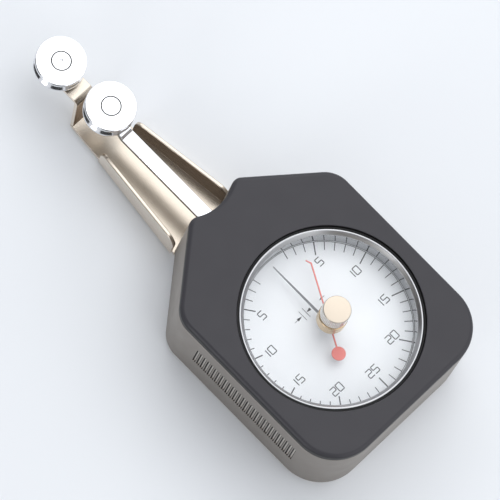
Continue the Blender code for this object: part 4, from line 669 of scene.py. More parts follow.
def rounded(corners, inset=0.0, step=4 * DEG):
    """Points of a closed outline, anticlockwise, from (x, y, radius) corners, drawn in by inset."""
    ends = [Vector(corner[:2]) for corner in corners]
    count = len(ends)
    edges = []
    for index in range(count):
        along = (ends[(index + 1) % count] - ends[index]).normalized()
        edges.append((ends[index] + Vector((-along.y, along.x)) * inset, along))
    outline = []
    for index in range(count):
        before, after = edges[index - 1], edges[index]
        corner = crossing(*before, *after)
        turn = math.atan2(before[1].x * after[1].y - before[1].y * after[1].x,
                          before[1].dot(after[1]))
        radius = corners[index][2]
        if radius > 0:
            radius = radius - inset if turn > 0 else radius + inset
        if radius <= 0:
            outline.append(corner)
            continue
        start = corner - before[1] * radius * math.tan(abs(turn) / 2)
        inward = Vector((-before[1].y, before[1].x)) * math.copysign(radius, turn)
        pieces = max(1, round(abs(turn) / step))
        for part in range(pieces + 1):
            outline.append(start + inward
                           + Matrix.Rotation(turn * part / pieces, 2) @ -inward)
    return outline


def mirrored(right):
    """The (x, y, radius) corners of a right-hand side, in reverse and on the left."""
    return [(-x, y, radius) for x, y, radius in reversed(right)]


def rectangle(half, low, high):
    """Corners of a rectangle that lies evenly about the y axis."""
    return [(-half, low), (half, low), (half, high), (-half, high)]


def rounded_rectangle(half, low, high, radius):
    """The same with round corners."""
    return rounded([(*corner, radius) for corner in rectangle(half, low, high)], step=22 * DEG)


def body_corners():
    """Corners of the body, anticlockwise from the lower right, with the notch at the neck."""
    right = [(BODY_HALF_WIDTH, BODY_BOTTOM_Y, BOTTOM_CORNER),
             (BODY_HALF_WIDTH, SHOULDER_Y, SHOULDER_CORNER),
             (NECK_HALF_WIDTH, NECK_Y, NECK_CORNER)]
    return right + [(0, NOTCH_Y, NOTCH_CORNER)] + mirrored(right)


def body_loop(inset, longest=0.9 * MM):
    """The body's outline, its straight runs cut up alike at every inset."""
    guide = rounded(body_corners())
    points = rounded(body_corners(), inset)
    loop = []
    for index, point in enumerate(points):
        after = (index + 1) % len(points)
        cuts = max(1, round((guide[after] - guide[index]).length / longest))
        loop += [point.lerp(points[after], part / cuts) for part in range(cuts)]
    return loop


def at_radius(loop, radius):
    """The points of a circle that lie in the same directions as the loop's."""
    return [point.normalized() * radius for point in loop]


def raised(loop, level):
    """A flat loop, put at a level."""
    return [Vector((point.x, point.y, level)) for point in loop]


def fillet(points, radius, closed=False, step=15 * DEG):
    """Rounds the corners of a 2D line; radius is one length, or one for each corner."""
    places = [Vector(point[:2]) for point in points]
    count = len(places)
    smooth = []
    for index, corner in enumerate(places):
        size = radius[index] if isinstance(radius, (list, tuple)) else radius
        inner = closed or 0 < index < count - 1
        if not inner or size <= 0:
            smooth.append(corner)
            continue
        before = places[index - 1] - corner
        after = places[(index + 1) % count] - corner
        turn = math.pi - before.angle(after)
        room = min(size * math.tan(turn / 2), before.length * 0.49, after.length * 0.49)
        if turn < 1 * DEG or room <= 0:
            smooth.append(corner)
            continue
        size = room / math.tan(turn / 2)
        start = corner + before.normalized() * room
        end = corner + after.normalized() * room
        middle = (before.normalized() + after.normalized()).normalized()
        centre = corner + middle * (size / math.cos(turn / 2))
        pieces = max(1, round(turn / step))
        sweep = (start - centre).angle_signed(end - centre)
        for part in range(pieces + 1):
            smooth.append(centre + Matrix.Rotation(-sweep * part / pieces, 2) @ (start - centre))
    return smooth


def solid_profile(radius, low, top):
    """Half section of a plain solid cylinder."""
    return [(0, top), (radius, top), (radius, low), (0, low)]


def ring_profile(inner, outer, low, top):
    """Section of a plain ring."""
    return [(inner, top), (outer, top), (outer, low), (inner, low)]


def circle(radius, sides):
    """Points round the dial's centre."""
    turn = 2 * math.pi / sides
    return [Vector((radius * math.cos(turn * side), radius * math.sin(turn * side)))
            for side in range(sides)]


def tapered(y, start_y, end_y, start, end):
    """A size that changes evenly from one place to another."""
    share = (y - start_y) / (end_y - start_y)
    return start + (end - start) * share


def disc_half(y, centre, radius):
    """Half width of a disc at y, never quite nothing."""
    return math.sqrt(max(radius ** 2 - (y - centre) ** 2, (0.02 * MM) ** 2))


def disc_stations(centre, radius, near_parts=14, far_parts=14):
    """Places along a disc from its near end to its far end, closer where it curves more."""
    return sorted({centre + way * radius * math.sin(part * math.pi / 2 / parts)
                   for way, parts in ((-1, near_parts), (1, far_parts))
                   for part in range(parts + 1)})


# Meshes

def add_object(name, data):
    """Puts a new object in the scene."""
    made = bpy.data.objects.new(name, data)
    bpy.context.scene.collection.objects.link(made)
    return made


def new_piece(name, shape):
    """Turns a bmesh into an object in the scene."""
    mesh = bpy.data.meshes.new(name)
    shape.to_mesh(mesh)
    shape.free()
    return add_object(name, mesh)


def neighbours(rows, ring):
    """Each row with the next one; ring adds the last with the first."""
    return list(zip(rows, rows[1:])) + ([(rows[-1], rows[0])] if ring else [])


def loft(name, loops, ring=False):
    """Skin over closed loops of like points, or single points that close it.

    With ring the last loop joins the first, and without it the end loops are filled.
    """
    shape = bmesh.new()
    rows = [[shape.verts.new(point) for point in loop] for loop in loops]
    count = max(len(row) for row in rows)
    for low, high in neighbours(rows, ring):
        for index in range(count):
            after = (index + 1) % count
            corners = list(dict.fromkeys([low[index % len(low)], low[after % len(low)],
                                          high[after % len(high)], high[index % len(high)]]))
            if len(corners) > 2:
                shape.faces.new(corners)
    for row in () if ring else (rows[0][::-1], rows[-1]):
        if len(row) > 2:
            shape.faces.new(row)
    bmesh.ops.recalc_face_normals(shape, faces=shape.faces)
    return new_piece(name, shape)


def lathe(name, profile, x=0.0, y=0.0, sides=96, ring=False):
    """Turned piece from (radius, level) points; a point on the axis closes it there."""
    turns = [2 * math.pi * side / sides for side in range(sides)]
    return loft(name, [
        [(x + radius * math.cos(turn), y + radius * math.sin(turn), level) for turn in turns]
        if radius > TINY else [(x, y, level)] for radius, level in profile], ring)


def turned(name, points, soft, x=0.0, y=0.0, sides=96, ring=False, step=15 * DEG):
    """Turned piece with its corners rounded by soft; ring says that its section is closed."""
    return lathe(name, fillet(points, soft, ring, step), x, y, sides, ring)


def strip(name, path, half_width_at, thickness, edge):
    """A bar along a (y, level) path, as wide at each place as half_width_at(y) says."""
    points = [Vector(place) for place in path]
    loops = []
    for index, point in enumerate(points):
        before = points[max(index - 1, 0)]
        after = points[min(index + 1, len(points) - 1)]
        first = (point - before).normalized() if index else (after - point).normalized()
        second = (after - point).normalized() if index < len(points) - 1 else first
        along = (first + second).normalized()
        up = Vector((-along.y, along.x)) / max(along.dot(first), 0.2)
        half = half_width_at(point.x)
        small = min(edge, half * 0.9, thickness * 0.45)
        section = fillet(rectangle(half, 0, thickness), small, closed=True, step=30 * DEG)
        loops.append([Vector((across, point.x + up.x * rise, point.y + up.y * rise))
                      for across, rise in section])
    return loft(name, loops)


def evaluated(piece):
    """The plain mesh that an object and its modifiers make."""
    bpy.context.view_layer.update()
    seen = piece.evaluated_get(bpy.context.evaluated_depsgraph_get())
    return bpy.data.meshes.new_from_object(seen)


def flat_plate(name, loops, low, high):
    """A flat plate between two levels, from its outline and the outlines of its holes."""
    curve = bpy.data.curves.new(name, "CURVE")
    curve.dimensions = "2D"
    curve.fill_mode = "BOTH"
    curve.extrude = (high - low) / 2
    for loop in loops:
        spline = curve.splines.new("POLY")
        spline.points.add(len(loop) - 1)
        for point, place in zip(spline.points, loop):
            point.co = (place[0], place[1], 0, 1)
        spline.use_cyclic_u = True
    guide = add_object(name, curve)
    mesh = evaluated(guide)
    mesh.transform(Matrix.Translation((0, 0, (low + high) / 2)))
    bpy.data.objects.remove(guide)
    shape = bmesh.new()
    shape.from_mesh(mesh)
    bmesh.ops.remove_doubles(shape, verts=shape.verts, dist=TINY)
    bmesh.ops.recalc_face_normals(shape, faces=shape.faces)
    bpy.data.meshes.remove(mesh)
    return new_piece(name, shape)


def bake(piece):
    """Replaces a piece's mesh by its evaluated one and drops its modifiers."""
    mesh = evaluated(piece)
    mesh.transform(piece.matrix_world)
    piece.modifiers.clear()
    piece.matrix_world = Matrix.Identity(4)
    piece.data = mesh
    return piece


def subtract(piece, cutter):
    """Cuts one closed piece out of another and removes the cutter."""
    step = piece.modifiers.new("cut", "BOOLEAN")
    step.operation = "DIFFERENCE"
    step.solver = "EXACT"
    step.object = cutter
    bake(piece)
    bpy.data.objects.remove(cutter)


def merge(name, *parts):
    """Makes one piece of several closed shells."""
    shape = bmesh.new()
    for part in parts:
        shape.from_mesh(part.data)
        bpy.data.objects.remove(part)
    return new_piece(name, shape)


def polish(piece, sharp=SHARP):
    """Shades a piece smooth, with its flat faces kept flat and its corners sharp."""
    piece.data.shade_smooth()
    piece.data.set_sharp_from_angle(angle=sharp)
    weight = piece.modifiers.new("normals", "WEIGHTED_NORMAL")
    weight.keep_sharp = True
    return bake(piece)


def coat(mesh, finish):
    """Gives a mesh one finish all over."""
    mesh.materials.clear()
    mesh.materials.append(MATERIALS[finish])


def dress(piece, finish, body, slot, *nodes):
    """Gives a finished piece its material and its body, and hides the frame nodes that it stands
    for.
    """
    coat(piece.data, finish)
    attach(piece, body)
    if nodes:
        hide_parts(*nodes)


# Geometry Nodes

def start_tree(name, sockets):
    """A node group with named inputs: the group, the function that adds nodes, its inputs."""
    tree = bpy.data.node_groups.new(name, "GeometryNodeTree")
    tree.interface.new_socket("Geometry", in_out="INPUT", socket_type="NodeSocketGeometry")
    for label, kind in sockets.items():
        tree.interface.new_socket(label, in_out="INPUT", socket_type=f"NodeSocket{kind}")
    tree.interface.new_socket("Geometry", in_out="OUTPUT", socket_type="NodeSocketGeometry")
    add = partial(add_node, tree)
    return tree, add, {socket.name: socket for socket in add("NodeGroupInput").outputs}


def end_tree(add, geometry, material):
    """Turns a tree's copies into a real mesh with its material, and hands it out."""
    real = add("GeometryNodeRealizeInstances", {0: geometry})
    coated = add("GeometryNodeSetMaterial", {"Geometry": real, "Material": material})
    add("NodeGroupOutput", {0: coated})


def grow(name, tree, values, source=None):
    """Runs a tree on an object and returns the plain mesh that it makes."""
    piece = source or add_object(name, bpy.data.meshes.new(name))
    step = piece.modifiers.new(tree.name, "NODES")
    step.node_group = tree
    for socket in tree.interface.items_tree:
        if socket.in_out == "INPUT" and socket.name in values:
            step[socket.identifier] = values[socket.name]
    mesh = evaluated(piece)
    bpy.data.objects.remove(piece)
    return add_object(name, mesh)


def copied(add, given, points, inputs=None):
    """Copies of the input piece on points."""
    piece = add("GeometryNodeObjectInfo", {"Object": given["Piece"]}).outputs["Geometry"]
    return add("GeometryNodeInstanceOnPoints", {
        "Points": points, "Instance": piece, **(inputs or {})})


def round_angle(add, count):
    """Each point's number, and its angle when count points share a full turn."""
    index = add("GeometryNodeInputIndex")
    share = add("ShaderNodeMath", {0: index, 1: count}, operation="DIVIDE")
    return index, add("ShaderNodeMath", {0: share, 1: 2 * math.pi}, operation="MULTIPLY")


def row_tree():
    """Copies of a piece in a straight row."""
    tree, add, given = start_tree("row_of_pieces", {
        "Piece": "Object", "Count": "Int", "Start": "Vector", "Step": "Vector",
        "Material": "Material"})
    line = add("GeometryNodeMeshLine", {
        "Count": given["Count"], "Start Location": given["Start"], "Offset": given["Step"]})
    end_tree(add, copied(add, given, line), given["Material"])
    return tree


def ring_tree():
    """Copies of a piece round an axis, each turned to face outwards."""
    tree, add, given = start_tree("ring_of_pieces", {
        "Piece": "Object", "Count": "Int", "Material": "Material"})
    points = add("GeometryNodePoints", {"Count": given["Count"]})
    turn = add("ShaderNodeCombineXYZ", {"Z": round_angle(add, given["Count"])[1]})
    end_tree(add, copied(add, given, points, {"Rotation": turn}), given["Material"])
    return tree


def places_tree():
    """A copy of a piece at each vertex of the input mesh."""
    tree, add, given = start_tree("pieces_at_places", {
        "Piece": "Object", "Material": "Material"})
    end_tree(add, copied(add, given, given["Geometry"]), given["Material"])
    return tree


def scale_tree():
    """The dial's strokes: short ones at each division, long ones at every major division."""
    tree, add, given = start_tree("dial_scale", {
        "Divisions": "Int", "Major Every": "Int", "Outer Radius": "Float",
        "Short Length": "Float", "Long Length": "Float", "Short Width": "Float",
        "Long Width": "Float", "Level": "Float", "Thickness": "Float", "Material": "Material"})
    points = add("GeometryNodePoints", {"Count": given["Divisions"]})
    index, angle = round_angle(add, given["Divisions"])
    rest = add("ShaderNodeMath", {0: index, 1: given["Major Every"]}, operation="MODULO")
    major = add("ShaderNodeMath", {0: rest, 1: 0.5}, operation="LESS_THAN")
    length, width = [add("GeometryNodeSwitch", {
        "Switch": major, "False": given[f"Short {size}"], "True": given[f"Long {size}"]},
        input_type="FLOAT") for size in ("Length", "Width")]
    half = add("ShaderNodeMath", {0: length, 1: 0.5}, operation="MULTIPLY")
    middle = add("ShaderNodeMath", {0: given["Outer Radius"], 1: half}, operation="SUBTRACT")
    x, y = [add("ShaderNodeMath", {
        0: add("ShaderNodeMath", {0: angle}, operation=wave), 1: middle}, operation="MULTIPLY")
        for wave in ("SINE", "COSINE")]
    place = add("ShaderNodeCombineXYZ", {"X": x, "Y": y, "Z": given["Level"]})
    placed = add("GeometryNodeSetPosition", {"Geometry": points, "Position": place})
    back = add("ShaderNodeMath", {0: angle, 1: -1.0}, operation="MULTIPLY")
    turn = add("ShaderNodeCombineXYZ", {"Z": back})
    size = add("ShaderNodeCombineXYZ", {"X": width, "Y": length, "Z": given["Thickness"]})
    # No stroke stands at zero or right beside it.
    last = add("ShaderNodeMath", {0: given["Divisions"], 1: 1.5}, operation="SUBTRACT")
    past = add("ShaderNodeMath", {0: index, 1: 1.5}, operation="GREATER_THAN")
    short_of = add("ShaderNodeMath", {0: index, 1: last}, operation="LESS_THAN")
    shown = add("ShaderNodeMath", {0: past, 1: short_of}, operation="MULTIPLY")
    strokes = add("GeometryNodeInstanceOnPoints", {
        "Points": placed, "Selection": shown, "Rotation": turn, "Scale": size,
        "Instance": add("GeometryNodeMeshCube", {"Size": (1, 1, 1)})})
    end_tree(add, strokes, given["Material"])
    return tree


def print_tree():
    """Printed lines: a flat closed ribbon along every input line."""
    tree, add, given = start_tree("printed_lines", {
        "Width": "Float", "Thickness": "Float", "Corner": "Float", "Material": "Material"})
    line = add("GeometryNodeMeshToCurve", {0: given["Geometry"]})
    bent = add("GeometryNodeFilletCurve", {
        "Curve": line, "Radius": given["Corner"], "Limit Radius": True, "Count": 3},
        mode="POLY")
    flat = add("GeometryNodeSetCurveNormal", {"Curve": bent}, mode="Z_UP")
    section = add("GeometryNodeCurvePrimitiveQuadrilateral", {
        "Width": given["Width"], "Height": given["Thickness"]})
    ribbon = add("GeometryNodeCurveToMesh", {
        "Curve": flat, "Profile Curve": section, "Fill Caps": True})
    end_tree(add, ribbon, given["Material"])
    return tree


# Case and cover

def make_cover(body):
    """Front cover: rounded outer edge, a lip round the dial's opening and a hollow beneath."""
    edge = body.cover_edge
    guide = body_loop(0)
    loops = [raised(guide, COVER_LOW), raised(guide, COVER_TOP - edge)]
    for part in range(1, 9):
        angle = part * math.pi / 16
        loops.append(raised(body_loop(edge * (1 - math.cos(angle))),
                            COVER_TOP - edge * (1 - math.sin(angle))))
    for part in range(4):
        angle = part * math.pi / 6
        loops.append(raised(at_radius(guide, BORE_RADIUS + BORE_LIP * (1 - math.sin(angle))),
                            COVER_TOP - BORE_LIP * (1 - math.cos(angle))))
    pocket = COVER_TOP - COVER_POCKET
    outside = at_radius(guide, BORE_RADIUS + BORE_WALL)
    loops += [raised(at_radius(guide, BORE_RADIUS), COVER_LOW), raised(outside, COVER_LOW),
              raised(outside, pocket), raised(body_loop(CASE_WALL), pocket),
              raised(body_loop(CASE_WALL), COVER_LOW)]
    dress(polish(loft("cover_shell", loops, ring=True)), "paint", "meter_body",
          "charcoal_paint", "front_cover")


def groove_cutter(body):
    """One upright slot with round ends and a slightly opened mouth, lying across a side wall."""
    wide = body.groove_width / 2
    tall = body.groove_height / 2
    mouth = GROOVE_MOUTH
    outline = rounded_rectangle(wide, -tall, tall, wide * 0.999)
    wider = rounded_rectangle(wide + mouth, -tall - mouth, tall + mouth, wide + mouth * 0.99)
    return loft("groove_cutter", [
        [Vector((out, point.x, point.y)) for point in points] for out, points in (
            (-body.groove_depth, outline), (-mouth, outline), (mouth, wider), (OVERRUN, wider))])


def make_case(body):
    """Cast case: its wall with a chamfer at the back, the grip grooves and the neck's mouth."""
    chamfer, soft = CASE_CHAMFER, CASE_SOFT
    wall = [(0, CASE_TOP - soft), (0, CASE_LOW + chamfer + soft), (soft, CASE_LOW + chamfer),
            (chamfer - soft, CASE_LOW + soft), (chamfer + soft, CASE_LOW),
            (CASE_WALL, CASE_LOW), (CASE_WALL, CASE_TOP), (soft, CASE_TOP)]
    case = loft("case_shell", [raised(body_loop(inset), level) for inset, level in wall],
                ring=True)
    middle = GROOVE_TOP - body.groove_height / 2
    tree = row_tree()
    for side in (-1, 1):
        cutter = groove_cutter(body)
        if side < 0:
            cutter.data.transform(Matrix.Rotation(math.pi, 4, "Z"))
        grooves = grow("groove_row", tree, {
            "Piece": cutter, "Count": body.groove_count,
            "Start": (side * BODY_HALF_WIDTH, GROOVE_FIRST_Y, middle),
            "Step": (0, body.groove_pitch, 0), "Material": MATERIALS["cast"]})
        bpy.data.objects.remove(cutter)
        subtract(case, grooves)
    mouth = rounded_rectangle(NECK_MOUTH_HALF, LEVER_LOW - NECK_MOUTH_ROOM,
                              LEVER_LOW + LEVER_THICKNESS + NECK_MOUTH_ROOM, NECK_MOUTH_CORNER)
    subtract(case, loft("neck_mouth", [[Vector((x, y, z)) for x, z in mouth]
                                       for y in (NOTCH_Y - NECK_MOUTH_DEPTH, NECK_Y + OVERRUN)]))
    dress(polish(case, SHEET_SHARP), "cast", "meter_body", "cast_case", "case_body")


# Fork

def flange_half(y):
    """Half width of the channel, which narrows towards the rollers."""
    return tapered(y, FLANGE_START_Y, FLANGE_END_Y, FLANGE_HALF_START, FLANGE_HALF_END)


def flange_top(y):
    """Height of the flange, rounded off at both of its ends."""
    top = tapered(y, FLANGE_START_Y, FLANGE_END_Y, FLANGE_TOP_START, FLANGE_TOP_END)
    for end, radius, way in FLANGE_ENDS:
        gap = way * (y - end)
        if gap < radius:
            top -= radius - math.sqrt(max(radius ** 2 - (radius - gap) ** 2, 0))
    return top


def channel_section(y, bend):
    """Closed section of the channel at y: the sheet's thickness all the way round a U."""
    half, top = flange_half(y), flange_top(y)
    outer = [(-half, top), (-half, 0), (half, 0), (half, top)]
    inner = [(half - SHEET, top), (half - SHEET, SHEET), (-half + SHEET, SHEET),
             (-half + SHEET, top)]
    tip = FLANGE_TIP
    radii = [tip, bend + SHEET, bend + SHEET, tip, tip, bend, bend, tip]
    return [Vector((x, y, z)) for x, z in fillet(outer + inner, radii, closed=True)]


def channel_stations():
    """Places along the channel, close together where the flange's ends are round."""
    ends = [end + way * radius * (1 - math.cos(part * math.pi / 20))
            for end, radius, way in FLANGE_ENDS for part in range(11)]
    return sorted(ends + [(FLANGE_START_Y + FLANGE_END_Y) / 2])


def strip_half(y):
    """Half width of the fork beyond its flanges, rounded at the end under the roller."""
    if y < STEP_FOOT_Y:
        return tapered(y, FLANGE_END_Y, STEP_FOOT_Y, STRIP_HALF_START, STRIP_HALF_END)
    if y < STEP_HEAD_Y:
        return tapered(y, STEP_FOOT_Y, STEP_HEAD_Y, STRIP_HALF_END, TAB_HALF)
    return max(disc_half(y, FIXED_ROLLER_Y, TAB_END_RADIUS),
               0 if y > FIXED_ROLLER_Y else TAB_HALF)


def fork_strip(bend):
    """The fork beyond its flanges: flat, up the step and along the tab for the roller."""
    level = TAB_TOP - SHEET
    path = fillet([(FLANGE_END_Y, 0), (STEP_FOOT_Y, 0), (STEP_HEAD_Y, level),
                   (FIXED_ROLLER_Y, level)], bend + SHEET, step=10 * DEG)[:-1]
    path += [(y, level) for y in disc_stations(FIXED_ROLLER_Y, TAB_END_RADIUS, near_parts=6)
             if y > TAB_ROUND_START_Y]
    return strip("fork_strip", path, strip_half, SHEET, STRIP_EDGE)


def back_outline():
    """The back plate: the body's outline drawn in, then widening into the fork's flanges."""
    steepness = math.hypot(1, SHOULDER_SLOPE)
    side = BODY_HALF_WIDTH - BACK_INSET
    shoulder_y = SHOULDER_Y - BACK_INSET * (steepness - SHOULDER_SLOPE)
    drop = (FLANGE_HALF_START - NECK_HALF_WIDTH) * SHOULDER_SLOPE
    root = NECK_Y - drop - BACK_INSET * steepness
    right = [(side, BODY_BOTTOM_Y + BACK_INSET, BOTTOM_CORNER - BACK_INSET),
             (side, shoulder_y, SHOULDER_CORNER - BACK_INSET),
             (flange_half(root) - BACK_ROOT, root, BACK_ROOT),
             (flange_half(FLANGE_START_Y) - BACK_ROOT, FLANGE_START_Y, 0)]
    return rounded(right + mirrored(right))


def make_fork(fork):
    """Back plate with its countersinks, and the fork that runs out of it."""
    hole_share, depth_share = 0.55, 0.45
    plate = flat_plate("back_sheet", [back_outline()], 0, SHEET)
    for node in sorted(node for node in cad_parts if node.startswith(COUNTERSUNK)):
        x, y = centre_of(node)
        head = reach(node) - x + SINK_SLIP
        hole = head * hole_share
        subtract(plate, lathe("sink", [
            (0, 2 * SHEET), (hole, 2 * SHEET), (hole, head * depth_share), (head, 0),
            (head, -OVERRUN), (0, -OVERRUN)], x, y, 40))
    channel = loft("channel", [channel_section(y, fork.bend) for y in channel_stations()])
    sheet = merge("fork_sheet", plate, channel, fork_strip(fork.bend))
    dress(polish(sheet, SHEET_SHARP), "nickel", "meter_body", "nickel_plate", "back_plate_fork")


# Fasteners

def slotted_screw(radius, tip):
    """Countersunk screw seen from the back, its slot cut across the head."""
    shank_share, sink_share = 0.54, 0.35
    head, shank = radius - SCREW_SLIP, radius * shank_share
    screw = turned("screw", [(0, 0), (head, 0), (shank, radius * sink_share), (shank, tip),
                             (0, tip)], BROKEN_EDGE, sides=40)
    slot = rectangle(2 * radius, -SLOT_HALF, SLOT_HALF)
    subtract(screw, flat_plate("slot", [slot], -OVERRUN, SLOT_DEPTH))
    return screw


def make_screws():
    """Every countersunk screw of a kind is one piece, its copies set by Geometry Nodes."""
    tree = places_tree()
    for kind in COUNTERSUNK:
        nodes = sorted(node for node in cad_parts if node.startswith(kind))
        low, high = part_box(nodes[0])
        screw = slotted_screw((high.x - low.x) / 2, high.z)
        places = bmesh.new()
        for node in nodes:
            places.verts.new((*centre_of(node), 0))
        screws = grow(f"{kind}s", tree, {"Piece": screw, "Material": MATERIALS["screw"]},
                      source=new_piece("places", places))
        bpy.data.objects.remove(screw)
        dress(polish(screws, SHEET_SHARP), "screw", "meter_body", "turned_steel", *nodes)


# Ring, gasket and window

def make_ring():
    """Chromed ring with its slanted inner face, the gasket round it and the window in it."""
    outer = reach("bezel_ring")
    land = outer - RING_LAND
    ring = turned("bezel", [
        (land, RING_TOP), (outer, RING_TOP), (outer, RING_LOW), (RING_INNER, RING_LOW),
        (RING_INNER, RING_TOP - (land - RING_INNER))],
        RING_ROUNDS, sides=180, ring=True)
    dress(polish(ring), "ring", "meter_body", "polished_steel", "bezel_ring")
    gasket = turned("gasket", ring_profile(outer + RING_SLIP, reach("bezel_gasket"),
                                           *levels("bezel_gasket")),
                    GASKET_ROUND, sides=180, ring=True)
    dress(polish(gasket), "rubber", "meter_body", "black_rubber", "bezel_gasket")
    # The window is pressed into the ring, so its rim isn't seen.
    lens = turned("window", ring_profile(LENS_HOLE, RING_INNER + RING_SLIP, LENS_LOW, LENS_TOP),
                  (LENS_HOLE_EDGE, LENS_RIM_EDGE, LENS_RIM_EDGE, LENS_HOLE_EDGE), sides=180,
                  ring=True)
    dress(polish(lens), "lens", "meter_body", "clear_lens", "lens")


# Dial

# Strokes of the digits, from the lower left at 0, 0 to the upper right at 1, 1
DIGITS = {
    "0": [(0, 0), (1, 0), (1, 1), (0, 1), (0, 0)],
    "1": [(0.5, 0), (0.5, 1)],
    "2": [(0, 1), (1, 1), (1, 0.5), (0, 0.5), (0, 0), (1, 0)],
    "5": [(1, 1), (0, 1), (0, 0.5), (1, 0.5), (1, 0), (0, 0)],
}
DIGIT_WIDTH_SHARE = 0.7
NARROW_DIGIT_SHARE = 0.35
DIGIT_GAP_SHARE = 0.2

# Where the numbers stand on both sides of the dial, in millimetres, and the one below its middle
NUMBER_PLACES = (("5", 10.8, 13.7), ("10", 16.0, 5.3), ("15", 16.0, -5.3), ("20", 10.4, -13.9))
LAST_NUMBER_Y = -16.9 * MM

# The arrows in millimetres: the two bars, the shafts' ends, and the heads' tips, bases and halves
ARROW_BARS = (-2.95, -1.65)
ARROW_BAR_HALF = 1.55 * MM
ARROW_SHAFTS = ((-5.9, -3.3), (-1.3, 0), (4.0, 5.2))
ARROW_HEADS = ((-3.2, -4.8, 0.42), (-1.5, -0.1, 0.42), (3.2, 4.3, 0.3))


def number_lines(text, x, y, height):
    """Strokes of a number, centred on a place and upright on the dial."""
    wide = height * DIGIT_WIDTH_SHARE
    gap = height * DIGIT_GAP_SHARE
    widths = [wide if letter != "1" else wide * NARROW_DIGIT_SHARE for letter in text]
    left = x - (sum(widths) + gap * (len(text) - 1)) / 2
    lines = []
    for letter, width in zip(text, widths):
        lines.append([Vector((left + across * width, y + (up - 0.5) * height))
                      for across, up in DIGITS[letter]])
        left += width + gap
    return lines


def arrow_lines():
    """The shafts and bars of two arrows that face a pair of bars, and of a small one."""
    bars = [[Vector((x * MM, ARROW_Y + side * ARROW_BAR_HALF)) for side in (-1, 1)]
            for x in ARROW_BARS]
    return bars + [[Vector((x * MM, ARROW_Y)) for x in ends] for ends in ARROW_SHAFTS]


def arrow_head(tip_x, base_x, half):
    """A small filled triangle on the dial."""
    way = [(tip_x, ARROW_Y), (base_x, ARROW_Y + half), (base_x, ARROW_Y - half)]
    if tip_x < base_x:
        way = way[::-1]
    return flat_plate("head", [way], DIAL_TOP, DIAL_TOP + INK_FILM)


def printed(name, lines, width, corner, tree):
    """Print on the dial along the lines, as thick as a film of ink."""
    shape = bmesh.new()
    for line in lines:
        ring = (line[0] - line[-1]).length < TINY and len(line) > 2
        verts = [shape.verts.new((point.x, point.y, 0)) for point in (line[:-1] if ring else line)]
        for pair in neighbours(verts, ring):
            shape.edges.new(pair)
    made = grow(name, tree, {"Width": width, "Thickness": INK_FILM, "Corner": corner,
                             "Material": MATERIALS["ink"]}, source=new_piece("lines", shape))
    made.data.transform(Matrix.Translation((0, 0, DIAL_TOP + INK_FILM / 2)))
    return made


def make_dial(dial):
    """Enamelled dial plate on its feet, with the printed scale, numbers and arrows."""
    face = turned("dial_face", ring_profile(DIAL_HOLE, reach("dial_plate"),
                                            DIAL_TOP - DIAL_THICKNESS, DIAL_TOP),
                  BROKEN_EDGE, sides=180, ring=True)
    feet = []
    for part in range(DIAL_FEET):
        angle = math.pi / 2 + 2 * math.pi * part / DIAL_FEET
        feet.append(lathe("foot", solid_profile(FOOT_RADIUS, DIAL_LOW, DIAL_TOP - FOOT_SUNK),
                          FOOT_CIRCLE * math.cos(angle), FOOT_CIRCLE * math.sin(angle), 32))
    dress(polish(merge("dial_face", face, *feet)), "face", "meter_body", "white_dial",
          "dial_plate")
    strokes = grow("dial_strokes", scale_tree(), {
        "Divisions": dial.divisions, "Major Every": dial.major_every,
        "Outer Radius": dial.outer_radius, "Short Length": dial.minor_length,
        "Long Length": dial.major_length, "Short Width": SHORT_STROKE_WIDTH,
        "Long Width": LONG_STROKE_WIDTH, "Level": DIAL_TOP + INK_FILM / 2,
        "Thickness": INK_FILM, "Material": MATERIALS["ink"]})
    tree = print_tree()
    lines = number_lines("25", 0, LAST_NUMBER_Y, dial.digit_height)
    for text, x, y in NUMBER_PLACES:
        for side in (-1, 1):
            lines += number_lines(text, side * x * MM, y * MM, dial.digit_height)
    numbers = printed("dial_numbers", lines, DIGIT_STROKE, DIGIT_CORNER, tree)
    hoop = circle(dial.outer_radius, 240)
    hoop = printed("dial_hoop", [hoop + hoop[:1]], HOOP_WIDTH, 0, tree)
    arrows = merge("dial_arrows", printed("arrow_lines", arrow_lines(), ARROW_STROKE, 0, tree),
                   *(arrow_head(tip * MM, base * MM, half * MM)
                     for tip, base, half in ARROW_HEADS))
    for piece in (strokes, numbers, hoop, arrows):
        dress(piece, "ink", "meter_body", "grey_pointer")


# Pointers

def turned_to(angle, along, across):
    """A place on a pointer: along it and to its right."""
    return Vector((along * math.sin(angle) + across * math.cos(angle),
                   along * math.cos(angle) - across * math.sin(angle)))


def make_main_pointer():
    """Main pointer: a blade that tapers to its tip, and the boss in its middle."""
    boss_top = levels("main_pointer")[1]
    top = boss_top - HAND_SUNK
    blade = flat_plate("blade", [[
        (-HAND_ROOT_HALF, 0), (HAND_ROOT_HALF, 0), (HAND_TIP_HALF, HAND_TIP_Y),
        (-HAND_TIP_HALF, HAND_TIP_Y)]], top - HAND_SHEET, top)
    boss = turned("boss", solid_profile(BOSS_RADIUS, boss_top - BOSS_HEIGHT, boss_top),
                  BOSS_EDGE, sides=48)
    dress(polish(merge("main_hand", blade, boss)), "pointer", "pointer_body", "grey_pointer",
          "main_pointer")


